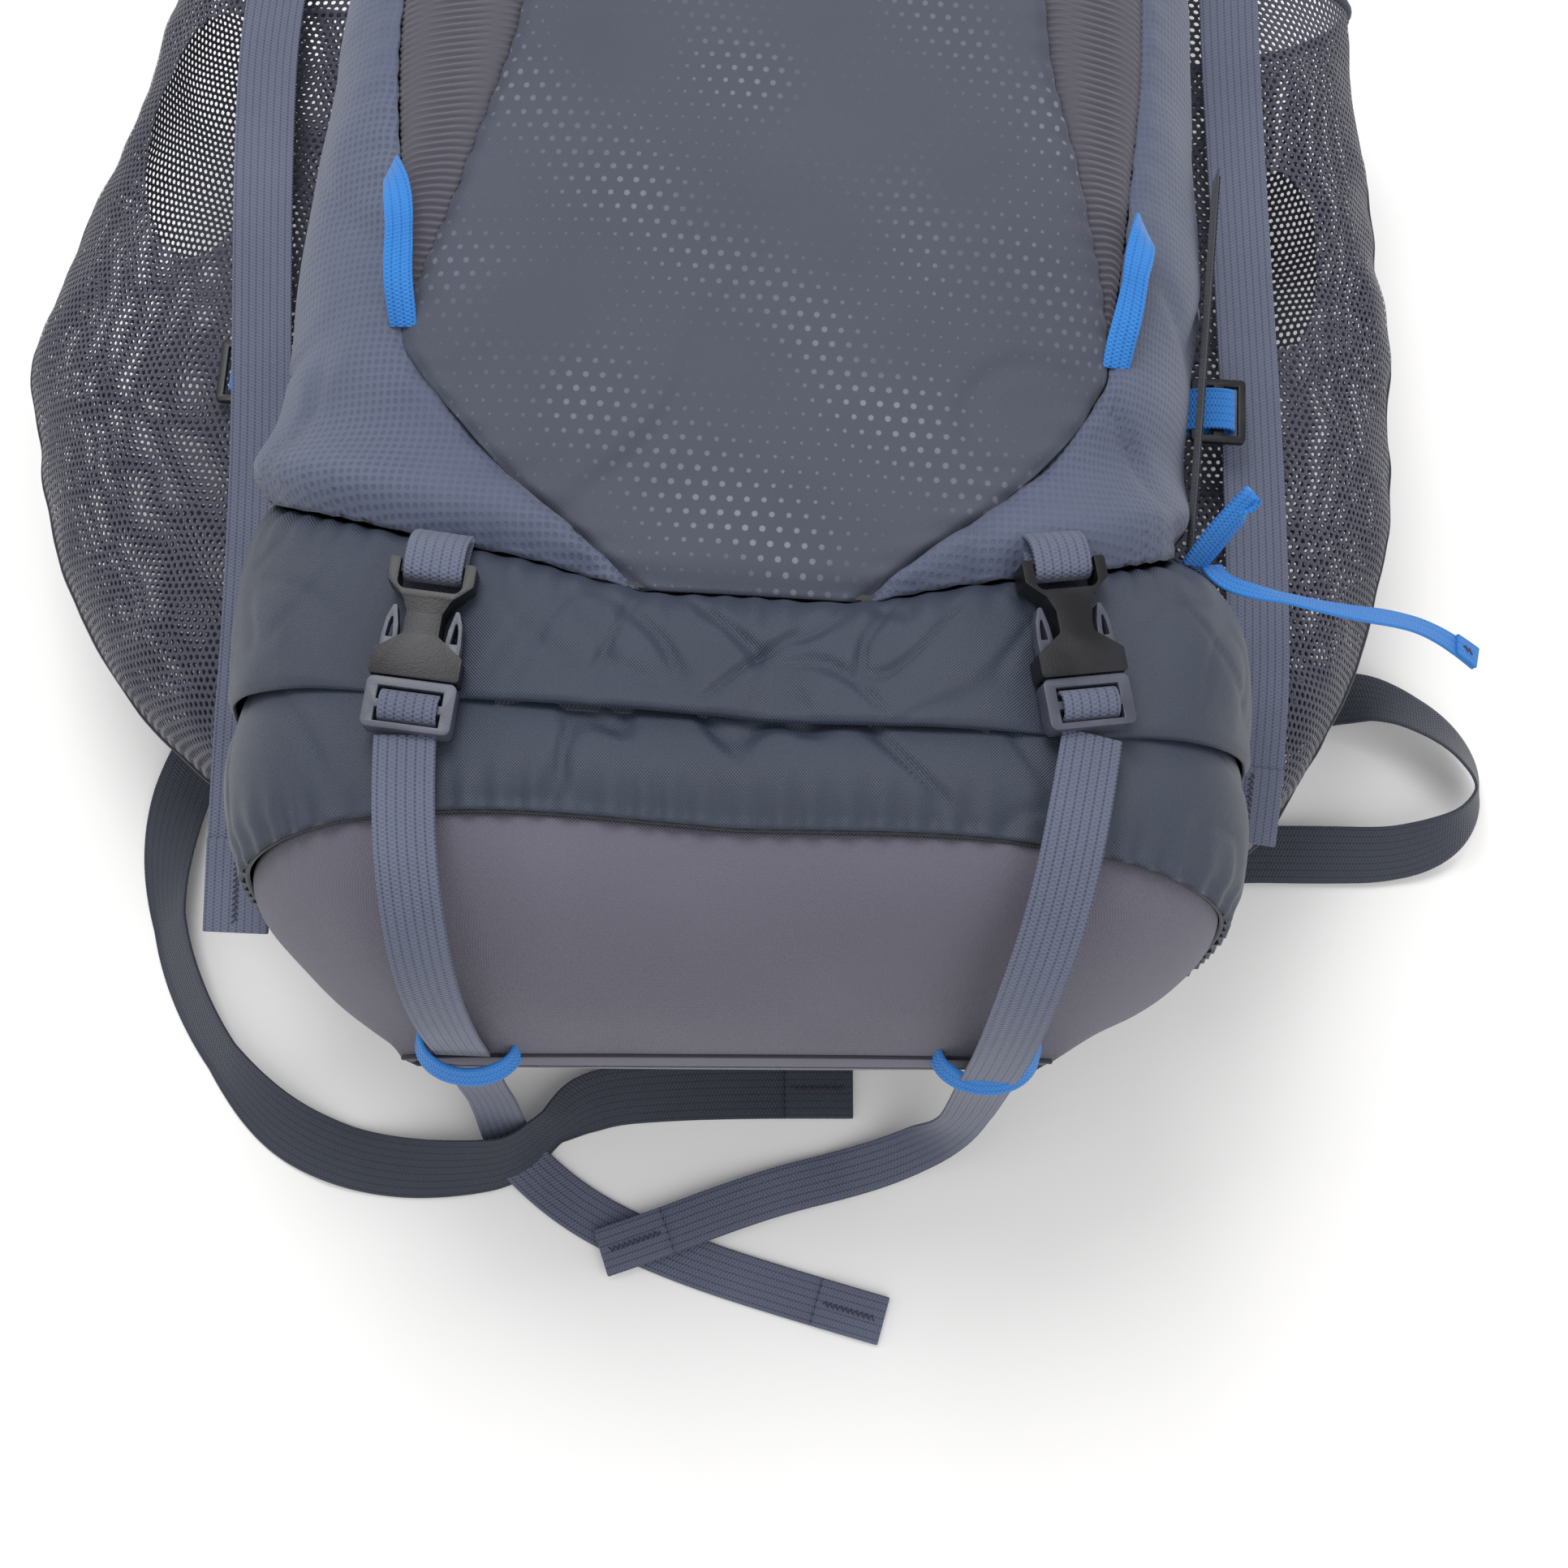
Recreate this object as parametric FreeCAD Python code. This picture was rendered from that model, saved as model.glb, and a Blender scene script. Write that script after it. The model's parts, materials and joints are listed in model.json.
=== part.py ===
"""Trekking daypack lying on its harness: bag, lid, mesh pockets, straps, buckles, frame and padding."""
import FreeCAD, Part
import math
import os

os.makedirs("parts", exist_ok=True)
V = FreeCAD.Vector

# ---- driving dimensions, in millimetres ----
# X runs across the pack, "height" runs from the base seam to the lid, Z rises from the floor to the front.
MID_X = 24.0             # the pack's middle plane, because the left pocket is slacker than the right one
SEAM_Y = -340.35         # where height 0, the base seam, lies along Y
WALL = 3.0               # fabric walls, drawn thicker than the cloth
BACK_Z = 45.0            # underside of the bag above the floor
BOOT_TOP = 70.0          # height where the base fabric ends
DIVIDER = 150.0          # height of the floor between the two compartments
BODY_TOP = 600.0         # height of the bag's hem
PANEL_HALF = 94.0        # half-width of the printed front panel
GUSSET_HALF = 130.0      # half-width to the outer edge of the stretch gussets
FRONT_CUT = 150.0        # below this Z the front pieces become side pieces
BACK_CUT = 48.0          # below this Z the bag is its back sheet
STRAP = 20.0             # sleeping-pad strap and buckle webbing width
BELT = 25.0              # hip-belt webbing width
WEB = 1.5                # webbing thickness
CORD = 4.6               # round section with about the same area as the webbing of a free strap
GAP = 0.3                # clearance between pieces that do not touch
FOAM = 14.0              # shoulder-strap thickness
WING_LOW = 8.0           # hip wings lie above their webbing
WING_TOP = 20.0
LUMBAR_TOP = 44.7
HINGE_HEIGHT = 628.0     # lid hinge line
HINGE_Z = 60.0
LID_TOP = 683.0
LID_HALF = 156.0
LID_FRONT = 282.0

# the bag's outer shape: height, half-width, lowest Z, highest Z, and how far its right side is drawn in
BODY = [
    (12.0, 125.0, 60.0, 212.0, 0.0),
    (26.0, 146.0, 50.0, 238.0, 0.0),
    (56.0, 172.0, BACK_Z, 257.0, 1.0),
    (110.0, 176.0, BACK_Z, 262.0, 3.0),
    (146.0, 176.0, BACK_Z, 262.0, 5.0),
    (172.0, 176.0, BACK_Z, 262.0, 24.0),
    (240.0, 175.6, BACK_Z, 262.0, 20.5),
    (290.0, 173.5, BACK_Z, 262.0, 16.0),
    (330.0, 172.0, BACK_Z, 262.0, 14.0),
    (460.0, 164.0, BACK_Z, 256.0, 12.0),
    (BODY_TOP, 154.0, BACK_Z, 240.0, 3.0),
]
# each mesh pocket: height and how far it bulges from the side of the bag
POCKET_LEFT = [(106.0, 14.0), (145.0, 62.0), (205.0, 100.0), (293.0, 127.0), (389.0, 104.0), (488.0, 84.0)]
POCKET_RIGHT = [(106.0, 14.0), (145.0, 50.0), (205.0, 68.0), (293.0, 79.0), (389.0, 72.0), (488.0, 62.0)]
POCKET_STEPS = 8         # points that shape each pocket's half-ellipse outline


def at(x, height, z):
    """A point given across the pack, up the pack and above the floor."""
    return V(MID_X + x, SEAM_Y + height, z)


def box(x_range, height_range, z_range):
    corner = at(x_range[0], height_range[0], z_range[0])
    size = [b - a for a, b in (x_range, height_range, z_range)]
    return Part.makeBox(size[0], size[1], size[2], corner)


def prism(outline, z_low, z_high):
    """An outline of (x, height) points raised from z_low to z_high."""
    points = [at(x, height, z_low) for x, height in outline]
    return Part.Face(Part.makePolygon(points + points[:1])).extrude(V(0, 0, z_high - z_low))


def rounded(solid, radius, direction):
    """Round the straight edges that run along one direction."""
    edges = []
    for edge in solid.Edges:
        run = edge.Vertexes[-1].Point - edge.Vertexes[0].Point
        if run.Length > 0 and abs(run.dot(direction)) > 0.999 * run.Length:
            edges.append(edge)
    return solid.makeFillet(radius, edges)


def soft_box(x_range, height_range, z_range, radius):
    return rounded(box(x_range, height_range, z_range), radius, V(0, 0, 1))


def save(name, *solids):
    shape = solids[0] if len(solids) == 1 else Part.makeCompound(list(solids))
    shape.exportStep("parts/" + name + ".step")


def mirrored(shape):
    """The same piece on the other side of the pack's middle plane."""
    return shape.mirror(V(MID_X, 0, 0), V(1, 0, 0))


# ---- bag ----
def bag_section(height, half, low, high, drawn_in=0.0):
    """One closed outline across the bag: flat back, upright sides and a crowned front."""
    back_r, front_r, crown = 18.0, 0.3 * half, 7.0
    shoulder = high - crown - front_r
    def p(x, z):
        return at(x, height, z)
    def corner(side, x, z, radius, up):
        """Quarter circle about (x, z): its point beside the centre, its middle, its point above or below."""
        turn = radius * math.sqrt(0.5)
        return p(side * (x + radius), z), p(side * (x + turn), z + up * turn), p(side * x, z + up * radius)
    def arc(start, middle, end):
        return Part.Arc(start, middle, end).toShape()
    def corners(side):
        reach = half - drawn_in if side > 0 else half
        back = corner(side, reach - back_r, low + back_r, back_r, -1)
        front = corner(side, reach - front_r, shoulder, front_r, 1)
        return back, front
    (side_low, back_middle, back_end), (side_high, front_middle, front_end) = corners(1)
    (left_low, left_back_middle, left_back_end), (left_high, left_front_middle, left_front_end) = corners(-1)
    right = [
        Part.makeLine(left_back_end, back_end),
        arc(back_end, back_middle, side_low),
        Part.makeLine(side_low, side_high),
        arc(side_high, front_middle, front_end),
        arc(front_end, p(0, high), left_front_end),
    ]
    left = [
        arc(left_front_end, left_front_middle, left_high),
        Part.makeLine(left_high, left_low),
        arc(left_low, left_back_middle, left_back_end),
    ]
    return Part.Wire(right + left)


def bag_solid(inset, start, end):
    """The bag's outer solid, or with an inset, the room inside its walls."""
    sections = []
    for index, (height, half, low, high, drawn_in) in enumerate(BODY):
        if index == 0:
            height += start
        if index == len(BODY) - 1:
            height += end
        sections.append(bag_section(height, half - inset, low + inset, high - inset, drawn_in))
    return Part.makeLoft(sections, True, True)


def bag():
    room = bag_solid(WALL, WALL, 5.0)
    wall = bag_solid(0.0, 0.0, 0.0).cut(room)
    wide, deep = (-400.0, 400.0), (BACK_CUT, 400.0)
    save("back_sheet", wall.common(box(wide, (-50.0, 700.0), (0.0, BACK_CUT))))
    save("base_boot", wall.common(box(wide, (-50.0, BOOT_TOP), deep)))
    save("lower_shell", wall.common(box(wide, (BOOT_TOP, DIVIDER), deep)))
    upper = (DIVIDER, 700.0)
    save("front_panel", wall.common(box((-PANEL_HALF, PANEL_HALF), upper, (FRONT_CUT, 400.0))))
    strips = [(PANEL_HALF, GUSSET_HALF), (-GUSSET_HALF, -PANEL_HALF)]
    save("gussets", *[wall.common(box(strip, upper, (FRONT_CUT, 400.0))) for strip in strips])
    save("side_panel_right", wall.common(box((GUSSET_HALF, 400.0), upper, deep)))
    save("side_panel_left", wall.common(box((-400.0, -GUSSET_HALF), upper, deep)))
    save("divider", room.common(box(wide, (DIVIDER, DIVIDER + 2.0), (56.0, 400.0))))


def back_frame():
    sheet = soft_box((-105.0, 105.0), (62.0, 585.0), (BACK_CUT + GAP, BACK_CUT + GAP + 1.5), 20.0)
    save("frame_sheet", sheet)
    rod_z, rod_x, low, high, turn = 53.0, 92.0, 66.0, 575.0, 40.0
    bend = turn * (1 - math.sqrt(0.5))
    def p(x, height):
        return at(x, height, rod_z)
    right = [
        Part.makeLine(p(rod_x, low), p(rod_x, high - turn)),
        Part.Arc(p(rod_x, high - turn), p(rod_x - bend, high - bend), p(rod_x - turn, high)).toShape(),
    ]
    top = Part.makeLine(p(rod_x - turn, high), p(turn - rod_x, high))
    left = [
        Part.Arc(p(turn - rod_x, high), p(bend - rod_x, high - bend), p(-rod_x, high - turn)).toShape(),
        Part.makeLine(p(-rod_x, high - turn), p(-rod_x, low)),
    ]
    path = Part.Wire(right + [top] + left)
    circle = Part.Wire(Part.makeCircle(2.5, p(rod_x, low), V(0, 1, 0)))
    save("frame_rod", path.makePipeShell([circle], True, False))


def collar():
    """Skirt that closes the main compartment, its drawcord and the cord lock."""
    low, high = BODY_TOP + GAP, 624.0
    def ring(inset):
        hem = bag_section(low, 150.0 - inset, 50.0 + inset, 234.0 - inset)
        top = bag_section(high, 118.0 - inset, 70.0 + inset, 208.0 - inset)
        return Part.makeLoft([hem, top], True, True)
    save("collar", ring(0.0).cut(ring(WALL)))
    # the drawcord lies round the collar just under its top
    cord_r, height, half, z_low, z_high, turn = 2.0, 617.0, 134.0, 56.0, 226.0, 18.0
    loop = rounded(box((-half, half), (height, height + 1.0), (z_low, z_high)), turn, V(0, 1, 0))
    face = max(loop.Faces, key=lambda f: (round(f.Area), -f.CenterOfMass.y))
    path = face.OuterWire
    start = path.OrderedEdges[0].Vertexes[0].Point
    direction = path.OrderedEdges[0].tangentAt(path.OrderedEdges[0].FirstParameter)
    circle = Part.Wire(Part.makeCircle(cord_r, start, direction))
    save("drawcord", path.makePipeShell([circle], True, False))
    lock_at, lock_r, lock_length = at(-9.0, 612.0, 235.0), 6.5, 18.0
    barrel = Part.makeCylinder(lock_r, lock_length, lock_at, V(1, 0, 0))
    hollow = Part.makeCylinder(4.5, lock_length, lock_at + V(3.0, 0, 0), V(1, 0, 0))
    save("cord_lock_barrel", barrel.cut(hollow))
    plunger = Part.makeCylinder(4.4, 9.0, lock_at + V(11.0, 0, 0), V(1, 0, 0))
    cap = Part.makeCylinder(6.0, 2.5, lock_at + V(lock_length + 5.0, 0, 0), V(1, 0, 0))
    stem = Part.makeCylinder(4.4, 5.0, lock_at + V(lock_length, 0, 0), V(1, 0, 0))
    save("cord_lock_button", plunger.fuse([cap, stem]).removeSplitter())
    spring = Part.makeCylinder(3.4, 7.4, lock_at + V(3.2, 0, 0), V(1, 0, 0))
    save("cord_lock_spring", spring.cut(Part.makeCylinder(2.4, 7.4, lock_at + V(3.2, 0, 0), V(1, 0, 0))))


# ---- lid ----
def lid():
    """Zipped lid pocket that covers the mouth of the bag, with its two straps."""
    across, depth = (-LID_HALF, LID_HALF), (HINGE_Z, LID_FRONT)
    outer = rounded(box(across, (HINGE_HEIGHT, LID_TOP), depth), 22.0, V(0, 1, 0))
    inner_x, inner_z = (WALL - LID_HALF, LID_HALF - WALL), (HINGE_Z + WALL, LID_FRONT - WALL)
    inner = rounded(box(inner_x, (HINGE_HEIGHT + WALL, LID_TOP - WALL), inner_z), 19.0, V(0, 1, 0))
    save("lid_shell", outer.cut(inner))
    save("lid_zip_tape", box((-122.0, 122.0), (650.0, 662.0), (LID_FRONT, LID_FRONT + 1.2)))
    slider = soft_box((-116.0, -106.0), (651.5, 660.5), (LID_FRONT + 1.4, LID_FRONT + 5.0), 2.0)
    save("lid_zip_slider", slider)
    strap_z = LID_FRONT - 8.0
    strap = box((70.0 - STRAP / 2, 70.0 + STRAP / 2), (592.0, HINGE_HEIGHT), (strap_z, strap_z + WEB))
    save("lid_straps", strap, mirrored(strap))
    female, male = lid_buckle()
    save("lid_buckles_male", male, mirrored(male))
    save("lid_buckles_female", female, mirrored(female))


# ---- side-release buckle, drawn with its mouth at the origin and its female half along +Y ----
MOUTH_HALF, WAIST_HALF, TOP_HALF = 14.6, 5.8, 14.2    # half-widths of the female half along its length
FEMALE_LENGTH, SHELL_Z = 40.0, 5.0
WAIST = (14.4, 22.0)                                  # where its slim waist lies
COLLAR_ROOM, GUIDE_ROOM, ROOM_Z = 13.7, 4.0, 3.5      # half sizes of the room for the prongs and the guide
SLOT_HALF = STRAP / 2 + 0.6
MALE_LENGTH, MALE_Z = 17.5, 4.0
PRONG_OUT, PRONG_Z = 13.0, 2.4
PRONG_ROOT = (9.2, 12.4)


def slab(outline, z_half):
    points = [V(x, y, -z_half) for x, y in outline]
    return Part.Face(Part.makePolygon(points + points[:1])).extrude(V(0, 0, 2 * z_half))


def block(x_range, y_range, z_half):
    size = (x_range[1] - x_range[0], y_range[1] - y_range[0], 2 * z_half)
    return Part.makeBox(*size, V(x_range[0], y_range[0], -z_half))


def female_half():
    """A collar at the mouth, a slim waist between two side windows, and a webbing bar between two arms."""
    side = [(MOUTH_HALF, 0.0), (MOUTH_HALF, 8.0), (WAIST_HALF, WAIST[0]), (WAIST_HALF, WAIST[1]), (8.0, 27.0),
            (TOP_HALF, 32.5), (TOP_HALF, FEMALE_LENGTH)]
    shell = rounded(slab(side + [(-x, y) for x, y in reversed(side)], SHELL_Z), 1.3, V(0, 0, 1))
    collar_room = block((-COLLAR_ROOM, COLLAR_ROOM), (-1.0, WAIST[0]), ROOM_Z)
    guide_room = block((-GUIDE_ROOM, GUIDE_ROOM), (-1.0, WAIST[1] + 1.0), ROOM_Z)
    slot = block((-SLOT_HALF, SLOT_HALF), (29.5, FEMALE_LENGTH + 5.0), SHELL_Z + 1)
    slot = rounded(slot, 3.0, V(0, 0, 1))
    bar = block((-SLOT_HALF - 0.1, SLOT_HALF + 0.1), (36.0, 39.6), 2.3)
    return shell.cut(collar_room).cut(guide_room).cut(slot).fuse(bar).removeSplitter()


def male_half():
    frame = rounded(block((-MOUTH_HALF, MOUTH_HALF), (-MALE_LENGTH, -GAP), MALE_Z), 2.5, V(0, 0, 1))
    for low in (-8.0, -15.3):
        frame = frame.cut(block((-SLOT_HALF, SLOT_HALF), (low, low + 4.5), MALE_Z + 1))
    guide = block((-2.5, 2.5), (-1.0, 16.0), PRONG_Z - 0.2)
    return frame.fuse(guide).removeSplitter()


def prong():
    """The right prong: a slim bowed arm with a teardrop window, whose back shows beside the waist."""
    inner, outer = PRONG_ROOT
    outline = [(inner, GAP), (outer, GAP), (PRONG_OUT, 6.0), (PRONG_OUT, 14.0), (12.4, 20.0), (10.8, 24.5),
               (9.6, 24.5), (8.2, 18.0), (7.8, 13.0), (8.8, 9.0)]
    arm = rounded(slab(outline, PRONG_Z), 0.6, V(0, 0, 1))
    window = slab([(9.3, 13.4), (11.8, 13.4), (11.4, 18.0), (10.4, 22.0), (9.8, 18.0)], PRONG_Z + 1)
    return arm.cut(rounded(window, 0.4, V(0, 0, 1)))


def other_prong():
    return prong().mirror(V(0, 0, 0), V(1, 0, 0))


def fixed_male():
    """A male half drawn in one piece with its prongs."""
    root = block(PRONG_ROOT, (-1.0, 1.0), PRONG_Z)
    other_root = root.mirror(V(0, 0, 0), V(1, 0, 0))
    return male_half().fuse([prong(), other_prong(), root, other_root]).removeSplitter()


def webbing_loop():
    """Short doubled webbing that holds the female half by its bar."""
    outer = block((-STRAP / 2, STRAP / 2), (34.4, 56.0), 2.7 + WEB)
    return outer.cut(block((-STRAP, STRAP), (34.4 + WEB, 60.0), 2.7))


def placed(shape, mouth, tilt, roll):
    """Turn a buckle piece about its length by roll, lean it by tilt, and set its mouth in place."""
    turn = FreeCAD.Rotation(V(0, 0, 1), tilt).multiply(FreeCAD.Rotation(V(0, 1, 0), roll))
    result = shape.copy()
    result.Placement = FreeCAD.Placement(mouth, turn)
    return result


def lid_buckle():
    mouth = at(70.0, 557.0, 266.0)
    female = placed(female_half(), mouth, 180.0, 0.0)
    parted = placed(fixed_male(), mouth + V(0, 14.0, 8.0), 180.0, 0.0)
    return female, parted


# each sleeping-pad buckle: its mouth, its lean and its roll about its length, in degrees
PAD_BUCKLES = {
    "left": (at(-105.6, 110.3, 268.0), -4.5, 0.0),
    "right": (at(108.6, 124.0, 268.0), 12.0, 10.0),
}


def pad_buckles():
    loops = []
    for side, (mouth, tilt, roll) in PAD_BUCKLES.items():
        save("pad_female_" + side, placed(female_half(), mouth, tilt, roll))
        save("pad_male_" + side, placed(male_half(), mouth, tilt, roll))
        outer, inner = (prong(), other_prong()) if side == "right" else (other_prong(), prong())
        save("pad_prong_outer_" + side, placed(outer, mouth, tilt, roll))
        save("pad_prong_inner_" + side, placed(inner, mouth, tilt, roll))
        loops.append(placed(webbing_loop(), mouth, tilt, roll))
    save("pad_buckle_webbing", *loops)


# ---- zippers ----
SIDE_ZIP_LEAN = 3.3      # degrees


def zippers():
    """Side zip on the right, leaning outward as it climbs, and the lower compartment's zip under its flap."""
    foot, lean = at(152.5, 182.0, 211.0), -SIDE_ZIP_LEAN
    def on_side(shape):
        shape.Placement = FreeCAD.Placement(foot, FreeCAD.Rotation(V(0, 0, 1), lean))
        return shape
    side_tape = on_side(Part.makeBox(1.2, 160.0, 12.0, V(0, 0, -6.0)))
    slider = Part.makeBox(3.6, 10.0, 9.0, V(1.4, 1.0, -4.5))
    save("side_zip_slider", on_side(rounded(slider, 1.5, V(0, 0, 1))))
    zip_height, zip_z = 111.0, 263.0
    tape_range = (zip_height - 6.0, zip_height + 6.0)
    lower_tape = box((-82.0, 82.0), tape_range, (zip_z, zip_z + 1.2))
    save("zip_tapes", side_tape, lower_tape)
    slider_range = (zip_height - 4.5, zip_height + 4.5)
    save("lower_zip_slider", soft_box((68.0, 78.0), slider_range, (zip_z + 1.4, zip_z + 4.4), 1.5))
    # the flap hangs down over the zip from its root above it
    flap_x, flap_low, flap_root = (-84.0, 84.0), 103.0, 124.0
    flap = box(flap_x, (flap_low, flap_root), (zip_z + 5.0, zip_z + 6.5))
    root = box(flap_x, (flap_root - WEB, flap_root), (zip_z, zip_z + 6.5))
    save("zip_flap", flap.fuse(root).removeSplitter())


# ---- pockets, loops and small hardware ----
def pocket(side, sections):
    low_z, high_z, top = 50.0, 138.0, sections[-1][0]
    def outline(height, bulge, inset):
        wall_x = side * 176.6
        middle, rise, reach = (low_z + high_z) / 2, (high_z - low_z) / 2 - inset, bulge - inset
        turns = [math.radians(-90.0 + 180.0 * step / POCKET_STEPS) for step in range(POCKET_STEPS + 1)]
        spots = [(wall_x + side * reach * math.cos(a), middle + rise * math.sin(a)) for a in turns]
        curve = Part.BSplineCurve()
        curve.interpolate([at(x, height, z) for x, z in spots])
        edge = curve.toShape()
        return Part.Wire([edge, Part.makeLine(edge.Vertexes[-1].Point, edge.Vertexes[0].Point)])
    outer = Part.makeLoft([outline(h, bulge, 0.0) for h, bulge in sections], True, True)
    shifted = [(h + (WALL if i == 0 else 0.0), bulge) for i, (h, bulge) in enumerate(sections)]
    shifted[-1] = (top + 1.0, sections[-1][1])
    inner = Part.makeLoft([outline(h, bulge, WALL) for h, bulge in shifted], True, True)
    return outer.cut(inner)


def arch(width, reach, band, base_height, z_mid, x_mid):
    """A webbing loop that stands out of the base seam, open up and down."""
    left, right, tip = x_mid - width / 2, x_mid + width / 2, base_height - reach
    outer = box((left, right), (tip, base_height), (z_mid - band / 2, z_mid + band / 2))
    outer = rounded(outer, 0.42 * reach, V(0, 0, 1))
    inner = box((left + WEB, right - WEB), (tip + WEB, base_height), (z_mid - band, z_mid + band))
    return outer.cut(rounded(inner, 0.3 * reach, V(0, 0, 1)))


def loops():
    base = arch(38.0, 14.0, 9.0, 11.7, 165.0, 91.0)
    save("base_loops", base, mirrored(base))
    tab = soft_box((122.0, 132.0), (232.0, 296.0), (261.0, 263.5), 4.0)
    left, left_web = side_slider((-215.0, -193.0), (258.0, 284.0), (141.5, 144.5), (-205.0, -176.8))
    right, right_web = side_slider((161.5, 182.5), (254.0, 280.0), (164.5, 167.5), (158.0, 172.5))
    save("side_sliders", left, right)
    save("blue_tabs", tab, mirrored(tab), left_web, right_web)


def side_slider(across, along, deep, web_range):
    """A flat two-slot slider of the side straps, and the short blue webbing that holds it."""
    frame = soft_box(across, along, deep, 2.0)
    middle, low, high = (along[0] + along[1]) / 2, along[0] + 3.0, along[1] - 3.0
    for slot in ((across[0] + 3.0, across[0] + 8.5), (across[1] - 8.5, across[1] - 3.0)):
        frame = frame.cut(box(slot, (low, high), (deep[0] - 1.0, deep[1] + 1.0)))
    web = box(web_range, (middle - 8.0, middle + 8.0), (deep[0] + 0.8, deep[0] + 2.2))
    return frame, web.cut(frame)


def haul_loop():
    outer = rounded(box((-42.0, 42.0), (540.0, 612.0), (28.0, 31.0)), 20.0, V(0, 0, 1))
    inner = rounded(box((-24.0, 24.0), (558.0, 594.0), (20.0, 40.0)), 8.0, V(0, 0, 1))
    foot = box((-42.0, 42.0), (540.0, 552.0), (31.0, BACK_Z - GAP))
    save("haul_loop", outer.cut(inner).fuse(foot).removeSplitter())


# ---- harness under the bag ----
def harness():
    pad = soft_box((22.0, 100.0), (150.0, 500.0), (34.0, BACK_Z - GAP), 18.0)
    save("back_pads", pad, mirrored(pad))
    save("lumbar_pad", soft_box((-95.0, 95.0), (52.0, 142.0), (WING_TOP + GAP, LUMBAR_TOP), 22.0))
    strap_outline = [(38.0, 560.0), (98.0, 560.0), (112.0, 470.0), (124.0, 330.0), (118.0, 215.0),
                     (66.0, 215.0), (68.0, 330.0), (52.0, 440.0), (38.0, 500.0)]
    strap = rounded(prism(strap_outline, 0.0, FOAM), 12.0, V(0, 0, 1))
    yoke = box((44.0, 92.0), (506.0, 536.0), (FOAM - 1.0, BACK_Z - GAP))
    shoulder = strap.fuse(yoke).removeSplitter()
    save("shoulder_strap_right", shoulder)
    save("shoulder_strap_left", mirrored(shoulder))
    lifter = box((60.0, 80.0), (562.0, 584.0), (6.0, 9.0))
    lifter_riser = box((60.0, 80.0), (581.0, 584.0), (9.0, BACK_Z - GAP))
    webbing = prism([(84.0, 214.4), (104.0, 214.4), (166.0, 176.0), (154.0, 160.0)], 3.0, 3.0 + WEB)
    riser = prism([(166.0, 176.0), (154.0, 160.0), (152.0, 162.0), (164.0, 178.0)], 3.0 + WEB, BACK_Z - GAP)
    belt_inner = prism([(-18.1, 85.5), (-18.1, 110.5), (-150.0, 150.0), (-200.0, 213.0), (-244.0, 213.0),
                        (-244.0, 188.5), (-217.0, 188.5), (-165.0, 125.0)], 3.0, 3.0 + WEB)
    sternum_right = box((42.4, 56.0), (390.0, 410.0), (5.6, 5.6 + WEB))
    paired = [lifter, lifter_riser, webbing, riser]
    save("harness_webbing", *paired, *[mirrored(piece) for piece in paired], belt_inner, sternum_right)
    wing_outline = [(72.0, 60.0), (72.0, 138.0), (150.0, 142.0), (204.0, 206.0), (226.0, 182.0),
                    (176.0, 96.0)]
    wing = rounded(prism(wing_outline, WING_LOW, WING_TOP), 12.0, V(0, 0, 1))
    save("hip_wing_right", wing)
    save("hip_wing_left", mirrored(wing))
    save("belt_adjusters", ladder_lock(-232.0, 182.0, 180.0), ladder_lock(236.0, 203.0, -80.0))


def ladder_lock(x, height, turn):
    """Flat two-slot adjuster under the tip of a hip wing; webbing leaves it along +Y before the turn."""
    frame = block((-14.0, 14.0), (-6.0, 6.0), 2.6)
    for low in (-4.4, 1.0):
        frame = frame.cut(block((-BELT / 2 - 0.3, BELT / 2 + 0.3), (low, low + 3.4), 5.0))
    return placed(frame, at(x, height, 4.9), turn, 0.0)


def belt_and_sternum():
    """Hip-belt buckle, its inner webbing, and the sternum strap."""
    hip_mouth = at(0.0, 98.0, 6.0)
    male = fixed_male()
    save("hip_male", placed(male, hip_mouth, -90.0, 0.0))
    sternum_mouth = at(2.0, 400.0, 6.5)
    females = [placed(female_half(), mouth, -90.0, 0.0) for mouth in (hip_mouth, sternum_mouth)]
    save("harness_females", *females)
    save("sternum_male", placed(male, sternum_mouth, -90.0, 0.0))
    save("sternum_webbing", box((-56.0, -16.1), (390.0, 410.0), (5.6, 5.6 + WEB)))


# ---- free straps, each drawn as one round tube of the webbing's own section area ----
def free_strap(name, route, limp=3.0):
    points = [at(*p) for p in route]
    edges, cursor, radii = [], points[0], []
    for before, corner, after in zip(points, points[1:], points[2:]):
        into, out = (corner - before), (after - corner)
        turn = into.getAngle(out)
        radius = 0.45 * min(into.Length, out.Length) / math.tan(turn / 2)
        reach = radius * math.tan(turn / 2)
        start = corner - into.normalize() * reach
        end = corner + out.normalize() * reach
        inward = (end - corner) + (start - corner)
        centre = corner + inward.normalize() * (radius / math.cos(turn / 2))
        middle = centre - inward * radius
        edges.append(Part.makeLine(cursor, start))
        edges.append(Part.Arc(start, middle, end).toShape())
        cursor = end
        radii.append(round(radius))
    edges.append(Part.makeLine(cursor, points[-1]))
    path = Part.Wire(edges)
    direction = (points[1] - points[0])
    circle = Part.Wire(Part.makeCircle(CORD / 2, points[0], direction))
    tube = path.makePipeShell([circle], True, False)
    expected = math.pi * CORD ** 2 / 4 * path.Length
    print(name, "length", round(path.Length), "least radius", min(radii), "needs", limp * CORD)
    print("  radii", radii, "volume ratio", round(tube.Volume / expected, 4))
    save(name, tube)


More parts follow.
